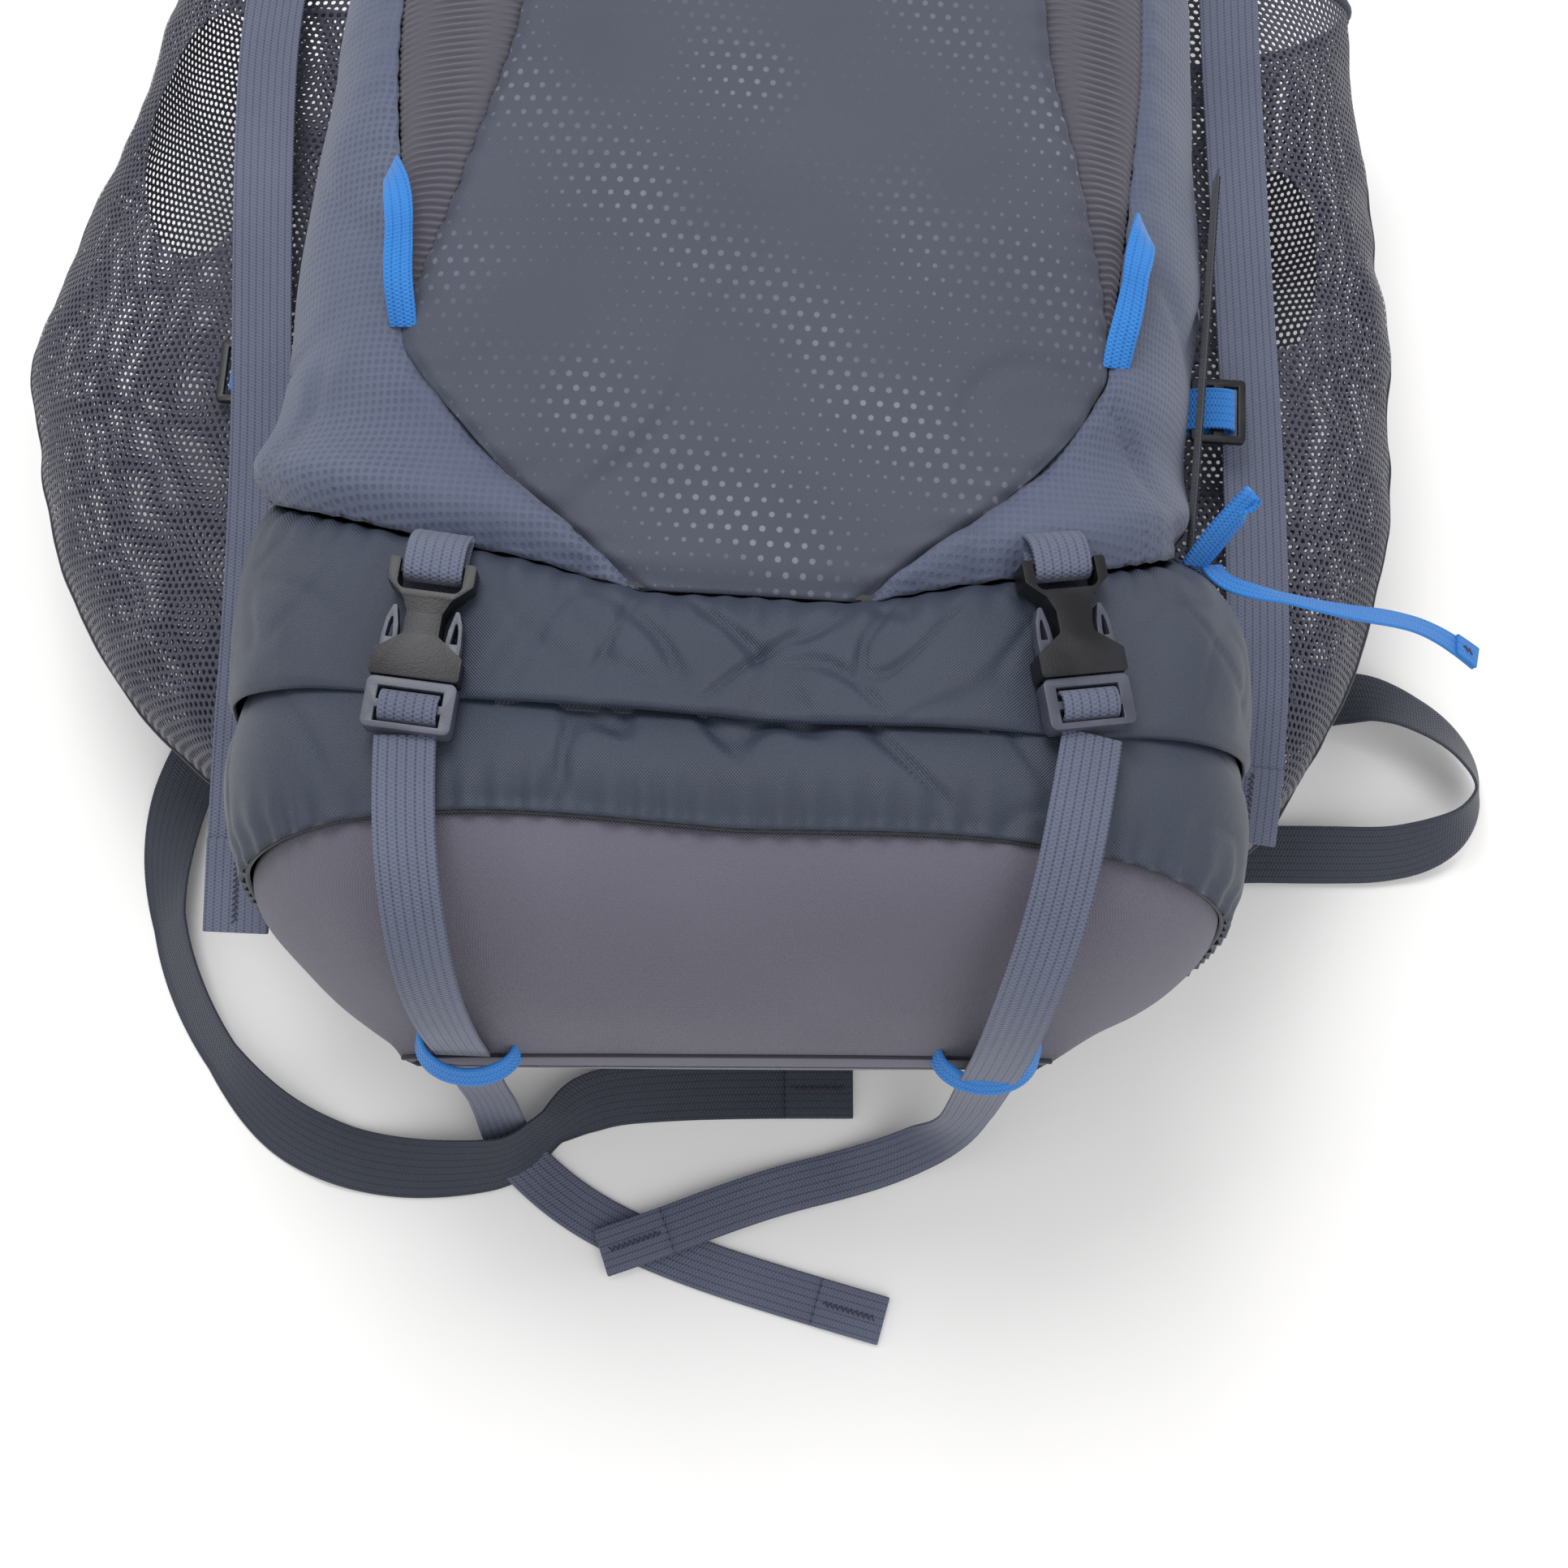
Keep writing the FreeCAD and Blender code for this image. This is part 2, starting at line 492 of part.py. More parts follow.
FREE_STRAPS = {
    "pad_tail_left": [
        (-107, 92.5, 268), (-105.5, 68, 270), (-101, 38, 262), (-97, 16, 236), (-94, 7, 200),
        (-93, 6, 158), (-95, 6, 112), (-97, 7, 70), (-96, 5, 36), (-95, 0, 14), (-88, -14, 3),
        (-58, -36, 3), (-18, -51, 3), (24, -62, 3), (68, -72, 3)],
    "pad_tail_right": [
        (112.6, 105.4, 268), (109, 78, 270), (103, 44, 262), (96, 17, 236), (93, 7, 198), (92, 6, 156),
        (93, 6, 110), (93, 5, 72), (90, 3, 38), (82, 0, 13), (66, -7, 4), (46, -14, 4), (23, -21, 6),
        (-2, -31, 9), (-27, -42, 9), (-50, -51, 6)],
    "belt_tail_left": [
        (-232, 175, 4.9), (-239, 158, 3), (-247, 134, 3), (-249, 106, 3), (-244, 76, 3), (-233, 48, 3),
        (-215, 20, 3), (-190, -5, 3), (-163, -17, 3), (-136, -21, 5), (-110, -20, 10.5),
        (-88, -16, 11.5), (-74, -1, 10), (-58, 13, 5), (-24, 18, 3), (12, 21, 3), (51, 23, 3)],
    "belt_loop_right": [
        (242.9, 204.2, 4.9), (262, 207, 12), (284, 199, 20), (304, 184, 24), (315, 165, 22),
        (307, 147, 18), (283, 136, 10), (246, 135, 4), (208, 134, 3), (168, 125, 3), (120, 111, 3),
        (70, 100, 3), (40.6, 98, 6)],
    "side_tail_left": [
        (-196, 520, 150), (-204, 480, 152), (-211, 425, 150), (-206, 360, 152), (-200, 300, 151),
        (-193, 235, 151), (-189, 170, 148), (-188, 110, 141), (-187, 52, 126)],
    "side_tail_right": [
        (176, 540, 150), (177, 500, 154), (178, 450, 152), (181, 390, 152), (185, 330, 150),
        (188, 270, 151), (191, 205, 149), (192, 150, 144), (188, 106, 136)],
    "zip_pull_long": [
        (160.6, 186, 213.8), (163, 180, 217), (171, 176, 219), (185, 174.5, 217), (208.7, 173.7, 208),
        (236, 177.6, 192), (254, 174.5, 182), (265, 170, 175)],
    "zip_pull_short": [
        (161, 190.5, 214.8), (162.5, 194, 221), (166, 198.5, 227), (170.5, 203, 231)],
}

bag()
back_frame()
collar()
lid()
pad_buckles()
zippers()
save("mesh_pocket_left", pocket(-1, POCKET_LEFT))
save("mesh_pocket_right", pocket(1, POCKET_RIGHT))
loops()
haul_loop()
harness()
belt_and_sternum()
for strap_name, strap_route in FREE_STRAPS.items():
    free_strap(strap_name, strap_route)
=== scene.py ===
"""Trekking daypack lying on its harness: cloth, mesh, webbing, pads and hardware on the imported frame."""
import bisect
import json
import math
import bmesh
import bpy
from mathutils import Matrix, Vector, noise


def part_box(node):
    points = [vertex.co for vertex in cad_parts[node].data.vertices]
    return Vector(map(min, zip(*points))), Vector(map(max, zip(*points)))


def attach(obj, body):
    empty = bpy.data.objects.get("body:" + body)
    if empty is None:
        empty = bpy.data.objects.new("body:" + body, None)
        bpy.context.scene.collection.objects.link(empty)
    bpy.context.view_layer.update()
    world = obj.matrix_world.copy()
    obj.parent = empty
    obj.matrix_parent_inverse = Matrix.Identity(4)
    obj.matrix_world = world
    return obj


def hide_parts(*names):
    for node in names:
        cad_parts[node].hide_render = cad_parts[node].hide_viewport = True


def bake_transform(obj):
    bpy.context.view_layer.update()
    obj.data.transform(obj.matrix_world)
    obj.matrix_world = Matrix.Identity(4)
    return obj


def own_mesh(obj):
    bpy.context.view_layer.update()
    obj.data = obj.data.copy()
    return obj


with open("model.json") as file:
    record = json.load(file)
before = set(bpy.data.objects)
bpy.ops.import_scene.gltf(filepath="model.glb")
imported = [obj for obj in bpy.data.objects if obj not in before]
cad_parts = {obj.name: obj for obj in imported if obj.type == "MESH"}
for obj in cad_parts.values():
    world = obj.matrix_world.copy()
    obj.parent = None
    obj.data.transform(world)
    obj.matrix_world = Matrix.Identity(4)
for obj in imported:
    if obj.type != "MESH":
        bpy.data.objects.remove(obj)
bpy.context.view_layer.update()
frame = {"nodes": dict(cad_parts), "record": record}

# ---- sizes, in metres: x from the pack's middle, height from the base seam, z above the floor ----
MID_X = 0.024
SEAM_Y = -0.34035
CLOTH = 0.0012           # thickness of a cloth panel
WEB = 0.0013             # thickness of webbing
PAD_STRAP = 0.020        # sleeping-pad strap width
BELT = 0.025             # hip-belt and side strap width
PULL = 0.009             # zip-pull tape width
FLOOR_SKIN = 0.0008      # lowest place of a strap's middle above the floor
BAG_TOP = 0.600
SIDE_END = 0.71          # where the side panels end, as a share of half the girth from the front centre

# the bag's outer shape at each height
HALF_WIDTH = [(0.0, 0.116), (0.005, 0.121), (0.014, 0.132), (0.028, 0.149), (0.048, 0.167), (0.070, 0.175),
              (0.106, 0.177), (0.215, 0.176), (0.330, 0.172), (0.460, 0.164), (0.600, 0.154)]
LOW_Z = [(0.0, 0.142), (0.005, 0.118), (0.014, 0.088), (0.028, 0.056), (0.048, 0.046), (0.070, 0.045),
         (0.600, 0.045)]
HIGH_Z = [(0.0, 0.166), (0.005, 0.182), (0.014, 0.208), (0.028, 0.233), (0.048, 0.251), (0.070, 0.259),
          (0.106, 0.262), (0.330, 0.262), (0.460, 0.256), (0.600, 0.240)]
BOXINESS = [(0.0, 0.0), (0.070, 1.0)]
DRAWN_IN = [(0.060, 0.000), (0.110, 0.003), (0.165, 0.008), (0.190, 0.025), (0.240, 0.021), (0.290, 0.016),
            (0.460, 0.012), (0.600, 0.003)]     # how far the right side is pulled in
BASE_LIFT, BASE_SKEW = 0.0105, 0.050
BASE_RIM = 0.030         # the open rim of the base lies lower than this
DRAW_FROM = 0.095        # the right side is pulled in beyond this distance from the middle
# seams on the front: height against half-width
PANEL_HALF = [(0.149, 0.036), (0.168, 0.060), (0.187, 0.083), (0.208, 0.103), (0.228, 0.120), (0.241, 0.125),
              (0.300, 0.1095), (0.365, 0.0935), (0.600, 0.080)]
GUSSET_HALF = [(0.241, 0.125), (0.262, 0.1275), (0.300, 0.132), (0.370, 0.139), (0.600, 0.127)]
# seams round the bag: share of half the girth against height
SHELL_LOW = [(0.0, 0.149), (0.067, 0.149), (0.15, 0.158), (0.224, 0.165), (0.33, 0.180), (0.507, 0.215),
             (1.0, 0.230)]
LIP_LINE = [(0.0, 0.104), (0.15, 0.106), (0.30, 0.111), (0.507, 0.113), (1.0, 0.113)]
BOOT_TOP = [(0.0, 0.070), (0.15, 0.072), (0.25, 0.068), (0.36, 0.059), (0.507, 0.055), (1.0, 0.050)]
# mesh pockets: height against reach from the pack's middle
POCKET_MID_Z, POCKET_RISE = 0.094, 0.044
POCKET_LEFT = [(0.106, 0.189), (0.118, 0.213), (0.145, 0.243), (0.205, 0.280), (0.250, 0.296), (0.293, 0.305),
               (0.340, 0.294), (0.389, 0.279), (0.469, 0.264), (0.488, 0.261)]
POCKET_RIGHT = [(0.106, 0.189), (0.121, 0.207), (0.180, 0.238), (0.226, 0.250), (0.287, 0.257),
                (0.372, 0.252), (0.488, 0.239)]

FRONT = (0.0, 0.0, 1.0)
BASE = (0.0, -1.0, 0.0)


def at(x, height, z):
    """A point given across the pack, up the pack and above the floor."""
    return Vector((MID_X + x, SEAM_Y + height, z))


# ---- routes of the free straps, with the way their faces look at some of their points ----
ROUTES = {
    "pad_tail_left": (
        [(-0.107, 0.0925, 0.268), (-0.1055, 0.068, 0.27), (-0.101, 0.038, 0.264), (-0.097, 0.016, 0.238),
         (-0.094, 0.007, 0.2), (-0.093, 0.006, 0.158), (-0.095, 0.006, 0.112), (-0.097, 0.007, 0.07),
         (-0.096, 0.005, 0.036), (-0.095, 0.0, 0.014), (-0.088, -0.014, 0.0014), (-0.058, -0.036, 0.0012),
         (-0.018, -0.051, 0.0012), (0.024, -0.062, 0.0012), (0.068, -0.072, 0.0012)],
        {0: FRONT, 1: FRONT, 3: (0, -0.7, 0.7), 5: BASE, 8: BASE, 10: FRONT}),
    "pad_tail_right": (
        [(0.1126, 0.1054, 0.268), (0.109, 0.078, 0.27), (0.103, 0.044, 0.264), (0.096, 0.019, 0.24),
         (0.093, 0.008, 0.2), (0.092, 0.006, 0.156), (0.093, 0.006, 0.11), (0.093, 0.005, 0.072),
         (0.09, 0.003, 0.038), (0.082, 0.0, 0.013), (0.066, -0.007, 0.0034), (0.046, -0.014, 0.003),
         (0.023, -0.021, 0.004), (-0.002, -0.031, 0.0064), (-0.027, -0.042, 0.0054),
         (-0.05, -0.051, 0.0034)],
        {0: (0.17, 0, 0.98), 1: FRONT, 3: (0, -0.7, 0.7), 5: BASE, 7: BASE, 9: (-0.3, -0.6, 0.8), 11: FRONT}),
    "belt_tail_left": (
        [(-0.232, 0.175, 0.0049), (-0.239, 0.158, 0.003), (-0.247, 0.134, 0.003), (-0.249, 0.106, 0.005),
         (-0.244, 0.076, 0.008), (-0.233, 0.048, 0.009), (-0.215, 0.02, 0.008), (-0.19, -0.005, 0.005),
         (-0.163, -0.017, 0.002), (-0.136, -0.021, 0.003), (-0.11, -0.02, 0.0075), (-0.088, -0.016, 0.009),
         (-0.074, -0.001, 0.009), (-0.058, 0.013, 0.005), (-0.024, 0.018, 0.002), (0.012, 0.021, 0.0012),
         (0.051, 0.023, 0.0012)],
        {0: FRONT, 2: FRONT, 4: (-0.75, -0.3, 0.75), 6: (-0.6, -0.6, 0.7), 8: FRONT, 11: (0.5, -0.6, 0.7),
         12: (0.8, -0.5, 0.5), 13: (0.1, -0.3, 1), 15: FRONT}),
    "belt_loop_right": (
        [(0.2429, 0.2042, 0.0049), (0.262, 0.207, 0.012), (0.284, 0.199, 0.02), (0.304, 0.184, 0.024),
         (0.315, 0.165, 0.022), (0.307, 0.147, 0.018), (0.283, 0.136, 0.01), (0.246, 0.135, 0.006),
         (0.208, 0.134, 0.003), (0.168, 0.125, 0.003), (0.12, 0.111, 0.003), (0.07, 0.1, 0.003),
         (0.0406, 0.098, 0.006)],
        {0: FRONT, 2: (0.5, 0.3, 0.8), 4: (0.95, 0.0, 0.3), 6: (0.2, -0.5, 0.8), 8: FRONT}),
    "side_tail_left": (
        [(-0.196, 0.52, 0.15), (-0.204, 0.48, 0.152), (-0.211, 0.425, 0.15), (-0.206, 0.36, 0.152),
         (-0.2, 0.3, 0.151), (-0.193, 0.235, 0.151), (-0.189, 0.17, 0.148), (-0.188, 0.11, 0.141),
         (-0.187, 0.052, 0.126)],
        {0: (-0.1, 0, 1), 4: (-0.25, 0, 1), 8: (-0.1, -0.1, 1)}),
    "side_tail_right": (
        [(0.176, 0.54, 0.15), (0.177, 0.5, 0.154), (0.178, 0.45, 0.152), (0.181, 0.39, 0.152),
         (0.185, 0.33, 0.15), (0.188, 0.27, 0.151), (0.191, 0.205, 0.149), (0.192, 0.15, 0.144),
         (0.188, 0.106, 0.136)],
        {0: (0.1, 0, 1), 4: (0.25, 0, 1), 8: (0.1, -0.1, 1)}),
    "zip_pull_long": (
        [(0.1606, 0.186, 0.2138), (0.163, 0.18, 0.217), (0.171, 0.176, 0.219), (0.185, 0.1745, 0.217),
         (0.2087, 0.1737, 0.208), (0.236, 0.1776, 0.192), (0.254, 0.1745, 0.182), (0.265, 0.17, 0.175)],
        {0: (0.3, 0.2, 0.9), 3: (0.3, 0.7, 0.6), 5: (0.5, 0.5, 0.7), 7: (0.6, 0.1, 0.9)}),
}


# ---- camera ----
def set_camera():
    """Look down on the front from beyond the base, with the pack's top leaning a little to the right."""
    elevation, roll = math.radians(75.0), math.radians(3.2)
    ahead = Vector((0.0, math.cos(elevation), -math.sin(elevation)))
    level_up = Vector((0.0, math.sin(elevation), math.cos(elevation)))
    side = Vector((1.0, 0.0, 0.0))
    right = side * math.cos(roll) + level_up * math.sin(roll)
    up = level_up * math.cos(roll) - side * math.sin(roll)
    data = bpy.data.cameras.new("camera")
    data.lens = 53.0
    data.sensor_width = 36.0
    data.clip_start = 0.01
    camera = bpy.data.objects.new("camera", data)
    bpy.context.collection.objects.link(camera)
    turn = Matrix((right, up, -ahead)).transposed().to_4x4()
    camera.matrix_world = Matrix.Translation((0.0387, -0.4472, 0.9776)) @ turn
    bpy.context.scene.camera = camera


set_camera()


# ---- numbers ----
def lerp(a, b, share):
    return a + (b - a) * share


def through(stops, key):
    """Read a smooth curve through (key, value) stops; it stays level outside them."""
    if key <= stops[0][0]:
        return stops[0][1]
    if key >= stops[-1][0]:
        return stops[-1][1]
    index = bisect.bisect_right(stops, (key, math.inf)) - 1

    def slope(place):
        before = stops[max(place - 1, 0)]
        after = stops[min(place + 1, len(stops) - 1)]
        return (after[1] - before[1]) / (after[0] - before[0])

    left, right = stops[index], stops[index + 1]
    span = right[0] - left[0]
    t = (key - left[0]) / span
    start, end = slope(index) * span, slope(index + 1) * span
    rise = t * t * (3 - 2 * t)
    return lerp(left[1], right[1], rise) + start * t * (1 - t) ** 2 - end * t * t * (1 - t)


def bell(distance, reach):
    return math.exp(-(distance / reach) ** 2)


def rough(spot, size, seed=0.0):
    """Smooth noise from -1 to 1 with features of a given size."""
    return noise.noise(spot / size + Vector((seed, -seed, seed * 0.5)))


def valley(spot, size, width, seed=0.0):
    """1 along thin wandering lines, falling to 0 beside them."""
    return max(0.0, 1.0 - abs(rough(spot, size, seed)) / width)


def toward_edges(share, pull=0.4):
    """Crowd evenly spaced shares towards 0 and 1."""
    return lerp(share, (1 - math.cos(math.pi * share)) / 2, pull)


# ---- looks ----
def shade(red, green, blue):
    """A colour from its screen values."""
    def linear(value):
        level = value / 255
        return level / 12.92 if level <= 0.04045 else ((level + 0.055) / 1.055) ** 2.4
    return (linear(red), linear(green), linear(blue), 1.0)


class Wire:
    """An output socket; arithmetic on it adds Math nodes."""

    def __init__(self, look, socket):
        self.look = look
        self.socket = socket

    def math(self, operation, first, second=0.0):
        return self.look.add("ShaderNodeMath", {"operation": operation}, {0: first, 1: second})

    def __add__(self, other):
        return self.math("ADD", self, other)

    def __radd__(self, other):
        return self.math("ADD", other, self)

    def __sub__(self, other):
        return self.math("SUBTRACT", self, other)

    def __rsub__(self, other):
        return self.math("SUBTRACT", other, self)

    def __mul__(self, other):
        return self.math("MULTIPLY", self, other)

    def __rmul__(self, other):
        return self.math("MULTIPLY", other, self)

    def __truediv__(self, other):
        return self.math("DIVIDE", self, other)

    def __pow__(self, other):
        return self.math("POWER", self, other)

    def __abs__(self):
        return self.math("ABSOLUTE", self)


class Look:
    """A material under construction."""

    def __init__(self, name, roughness=0.8, metallic=0.0, sheen=0.0, coat=0.0):
        self.material = bpy.data.materials.new(name)
        self.material.use_nodes = True
        self.shader = self.material.node_tree.nodes["Principled BSDF"]
        self.shader.inputs["Roughness"].default_value = roughness
        self.shader.inputs["Metallic"].default_value = metallic
        self.shader.inputs["Sheen Weight"].default_value = sheen
        self.shader.inputs["Sheen Roughness"].default_value = 0.4
        self.shader.inputs["Coat Weight"].default_value = coat

    def add(self, kind, settings, inputs, output=0):
        tree = self.material.node_tree
        node = tree.nodes.new(kind)
        for key, value in settings.items():
            setattr(node, key, value)
        for key, value in inputs.items():
            if isinstance(value, Wire):
                tree.links.new(value.socket, node.inputs[key])
            else:
                node.inputs[key].default_value = value
        return Wire(self, node.outputs[output])

    def set(self, **values):
        for key, value in values.items():
            self.material.node_tree.links.new(value.socket, self.shader.inputs[key.replace("_", " ")])

    def weave(self):
        """Metres across and along the cloth."""
        flat = self.add("ShaderNodeUVMap", {"uv_map": "weave"}, {})
        return [self.add("ShaderNodeSeparateXYZ", {}, {0: flat}, axis) for axis in (0, 1)]

    def place(self):
        return self.add("ShaderNodeTexCoord", {}, {}, "Object")

    def noise(self, scale, detail=3.0, vector=None):
        spot = vector or self.place()
        return self.add("ShaderNodeTexNoise", {}, {"Vector": spot, "Scale": scale, "Detail": detail})

    def sine(self, value, pitch):
        angle = value * (math.tau / pitch)
        return angle.math("SINE", angle)

    def honeycomb(self, across, along, pitch):
        """Distance from the nearest middle of a honeycomb of cells, as a share of their pitch."""
        row = pitch * math.sqrt(3)

        def from_middle(shift):
            x = (across / pitch + shift).math("FRACT", across / pitch + shift) - 0.5
            y = (along / row + shift).math("FRACT", along / row + shift) - 0.5
            return (x * x + y * y * 3.0).math("SQRT", x * x + y * y * 3.0)

        inputs = {0: from_middle(0.0), 1: from_middle(0.5)}
        return self.add("ShaderNodeMath", {"operation": "MINIMUM"}, inputs)

    def step(self, value, low, high):
        """0 below low, 1 above high, smooth between; low may be the larger."""
        settings = {"interpolation_type": "SMOOTHSTEP"}
        return self.add("ShaderNodeMapRange", settings, {0: value, 1: low, 2: high})

    def mix(self, share, first, second):
        return self.add("ShaderNodeMix", {"data_type": "RGBA"}, {0: share, 6: first, 7: second}, 2)

    def bump(self, height, distance):
        inputs = {"Height": height, "Distance": distance, "Strength": 1.0}
        self.set(Normal=self.add("ShaderNodeBump", {}, inputs))


def cloth_look(name, dark, light, pitch, depth, roughness, sheen=0.15):
    """Plain-woven cloth: crossing threads, with its tone drifting over the piece."""
    look = Look(name, roughness, sheen=sheen)
    across, along = look.weave()
    threads = look.sine(across, pitch) * look.sine(along, pitch) * 0.5 + 0.5
    drift = look.noise(14.0, 4.0)
    fine = look.noise(900.0, 2.0)
    tone = threads * 0.35 + drift * 0.5 + fine * 0.3
    look.set(Base_Color=look.mix(tone, dark, light))
    look.bump(threads + fine * 0.4, depth)
    return look.material


def panel_twill():
    """Twill printed with a honeycomb of small pale dots that swell and fade in slanting bands."""
    look = Look("panel_twill", 0.66, sheen=0.12)
    across, along = look.weave()
    apart = look.honeycomb(across, along, 0.0060)
    drift = look.noise(9.0, 2.0)
    band = look.sine(across * 0.8 + along + drift * 0.05, 0.086) * 0.5 + 0.5
    lean = look.sine(across - along * 0.7 + drift * 0.04, 0.13) * 0.5 + 0.5
    size = band * 0.10 + 0.07
    spot = look.step(apart - size, 0.05, -0.03)
    strength = (band * 0.5 + lean * 0.5) * look.step(look.noise(16.0, 1.0), 0.33, 0.6)
    twill = look.sine(across + along * 0.6, 0.00085) * 0.5 + 0.5
    base = look.mix(twill * 0.3 + look.noise(11.0, 4.0) * 0.6, shade(50, 54, 69), shade(78, 82, 98))
    look.set(Base_Color=look.mix(spot * strength * 0.6, base, shade(142, 147, 162)))
    look.bump(twill * 0.6 + look.noise(1100.0, 2.0) * 0.4, 0.00016)
    return look.material


def side_ripstop():
    """Ripstop: a raised grid of doubled threads round small darker cells."""
    look = Look("side_ripstop", 0.6, sheen=0.15)
    across, along = look.weave()
    pitch = 0.0029
    across_line = abs(look.sine(across, 2 * pitch)) ** 0.6
    along_line = abs(look.sine(along, 2 * pitch)) ** 0.6
    cell = look.step(across_line * along_line, 0.55, 0.9)
    threads = look.sine(across, 0.0007) * look.sine(along, 0.0007) * 0.5 + 0.5
    seen = look.step(look.noise(13.0, 2.0), 0.34, 0.62)
    base = look.mix(look.noise(12.0, 4.0), shade(66, 74, 98), shade(96, 104, 126))
    look.set(Base_Color=look.mix(cell * (seen * 0.4 + 0.1), base, shade(50, 57, 79)))
    look.bump(threads * 0.35 - cell * 0.7, 0.0003)
    return look.material


def stretch_rib():
    look = Look("stretch_rib", 0.85, sheen=0.25)
    across, along = look.weave()
    rib = look.sine(along, 0.0028) * 0.5 + 0.5
    knit = look.sine(across, 0.0009) * look.sine(along, 0.0007) * 0.5 + 0.5
    tone = rib * 0.55 + knit * 0.2 + look.noise(14.0) * 0.3
    look.set(Base_Color=look.mix(tone, shade(62, 60, 71), shade(98, 95, 106)))
    look.bump(knit + look.noise(900.0) * 0.5, 0.0002)
    return look.material


def webbing_look(name, dark, light):
    """Woven strap: rows of short raised picks between lengthwise cords."""
    look = Look(name, 0.72, sheen=0.2)
    across, along = look.weave()
    picks = look.sine(along, 0.0014) * look.sine(across, 0.0030) * 0.5 + 0.5
    cords = look.step(look.sine(across, 0.0030), -0.6, -0.95)
    fuzz = look.noise(1200.0, 2.0)
    tone = picks * 0.34 + fuzz * 0.3 + (look.noise(20.0) - 0.5) * 0.4 + 0.22 - cords * 0.3
    look.set(Base_Color=look.mix(tone, dark, light))
    look.bump(picks + fuzz * 0.3, 0.00032)
    return look.material


def open_mesh():
    """Knitted mesh with round holes set in a honeycomb."""
    look = Look("open_mesh", 0.8, sheen=0.3)
    across, along = look.weave()
    apart = look.honeycomb(across, along, 0.0034)
    solid = look.step(apart, 0.27, 0.33)
    yarn = look.noise(1300.0, 2.0)
    look.set(Base_Color=look.mix(yarn * 0.6 + look.noise(16.0) * 0.4, shade(40, 41, 56), shade(82, 82, 98)))
    look.set(Alpha=solid)
    look.bump(apart * 1.5 + yarn * 0.4, 0.0004)
    return look.material


def air_mesh():
    """Spacer mesh over foam on the harness."""
    look = Look("air_mesh", 0.9, sheen=0.35)
    spot = look.place()
    cells = look.add("ShaderNodeTexVoronoi", {"feature": "F1"}, {"Vector": spot, "Scale": 330.0})
    pit = look.step(cells, 0.5, 0.2)
    tone = look.noise(20.0) * 0.5 + look.noise(700.0) * 0.4
    base = look.mix(tone, shade(44, 47, 54), shade(74, 78, 88))
    look.set(Base_Color=look.mix(pit * 0.7, base, shade(26, 28, 33)))
    look.bump(1.0 - pit, 0.0006)
    return look.material


def moulded_plastic(name, dark, light, roughness, coat, shine=0.5):
    """Moulded acetal: a fine spark texture, with the wear of handling as faint lighter clouds."""
    look = Look(name, roughness, coat=coat)
    look.shader.inputs["Specular IOR Level"].default_value = shine
    spark = look.noise(1500.0, 3.0)
    cloud = look.noise(60.0, 4.0)
    look.set(Base_Color=look.mix(look.step(cloud, 0.35, 0.75), dark, light))
    look.set(Roughness=cloud * 0.22 + (roughness - 0.1))
    look.bump(spark, 0.00006)
    return look.material


def metal_look(name, dark, light, roughness):
    look = Look(name, roughness, metallic=1.0)
    grain = look.noise(400.0, 4.0)
    look.set(Base_Color=look.mix(grain, dark, light))
    look.set(Roughness=grain * 0.2 + (roughness - 0.1))
    look.bump(grain, 0.00004)
    return look.material


def thread_look(name, dark, light):
    look = Look(name, 0.8, sheen=0.3)
    look.set(Base_Color=look.mix(look.noise(900.0), dark, light))
    look.bump(look.noise(1600.0), 0.0001)
    return look.material


def floor_look():
    look = Look("floor_paper", 0.75)
    look.set(Base_Color=look.mix(look.noise(3.0), shade(248, 247, 246), shade(252, 251, 250)))
    return look.material


LOOKS = {
    "shell_lower": cloth_look("lower_nylon", shade(32, 40, 54), shade(58, 66, 84), 0.0011, 0.0002, 0.46,
                              0.04),
    "shell_panel": panel_twill(),
    "shell_side": side_ripstop(),
    "shell_base": cloth_look("boot_cloth", shade(80, 79, 92), shade(108, 106, 120), 0.0012, 0.00026, 0.78),
    "shell_stretch": stretch_rib(),
    "mesh": open_mesh(),
    "back_cloth": air_mesh(),
    "webbing": webbing_look("webbing_blue_grey", shade(54, 60, 80), shade(112, 118, 140)),
    "belt_webbing": webbing_look("webbing_navy", shade(34, 38, 48), shade(66, 72, 86)),
    "accent": webbing_look("webbing_bright_blue", shade(16, 92, 178), shade(48, 140, 214)),
    "buckle_black": moulded_plastic("plastic_black", shade(20, 20, 24), shade(36, 36, 41), 0.34, 0.0, 0.3),
    "buckle_grey": moulded_plastic("plastic_grey", shade(60, 63, 76), shade(80, 83, 98), 0.40, 0.0),
    "zip_metal": metal_look("zip_metal", shade(60, 63, 70), shade(92, 95, 103), 0.4),
    "frame_metal": metal_look("drawn_aluminium", shade(190, 190, 193), shade(214, 214, 216), 0.3),
    "frame_board": moulded_plastic("frame_board", shade(30, 30, 32), shade(48, 48, 50), 0.6, 0.0),
    "spring_steel": metal_look("spring_steel", shade(180, 180, 180), shade(210, 210, 210), 0.25),
}
THREAD = thread_look("seam_thread", shade(40, 34, 58), shade(66, 58, 84))
DARK_THREAD = thread_look("dark_thread", shade(26, 28, 36), shade(52, 54, 64))
NODE_SLOTS = {part["node"]: part["material_slot"] for part in frame["record"]["subparts"]}


# ---- making pieces ----
def finish_piece(name, mesh, slot, look=None):
    obj = bpy.data.objects.new(name, mesh)
    bpy.context.collection.objects.link(obj)
    mesh.materials.clear()
    mesh.materials.append(look or LOOKS[slot])
    for face in mesh.polygons:
        face.use_smooth = True
    return obj


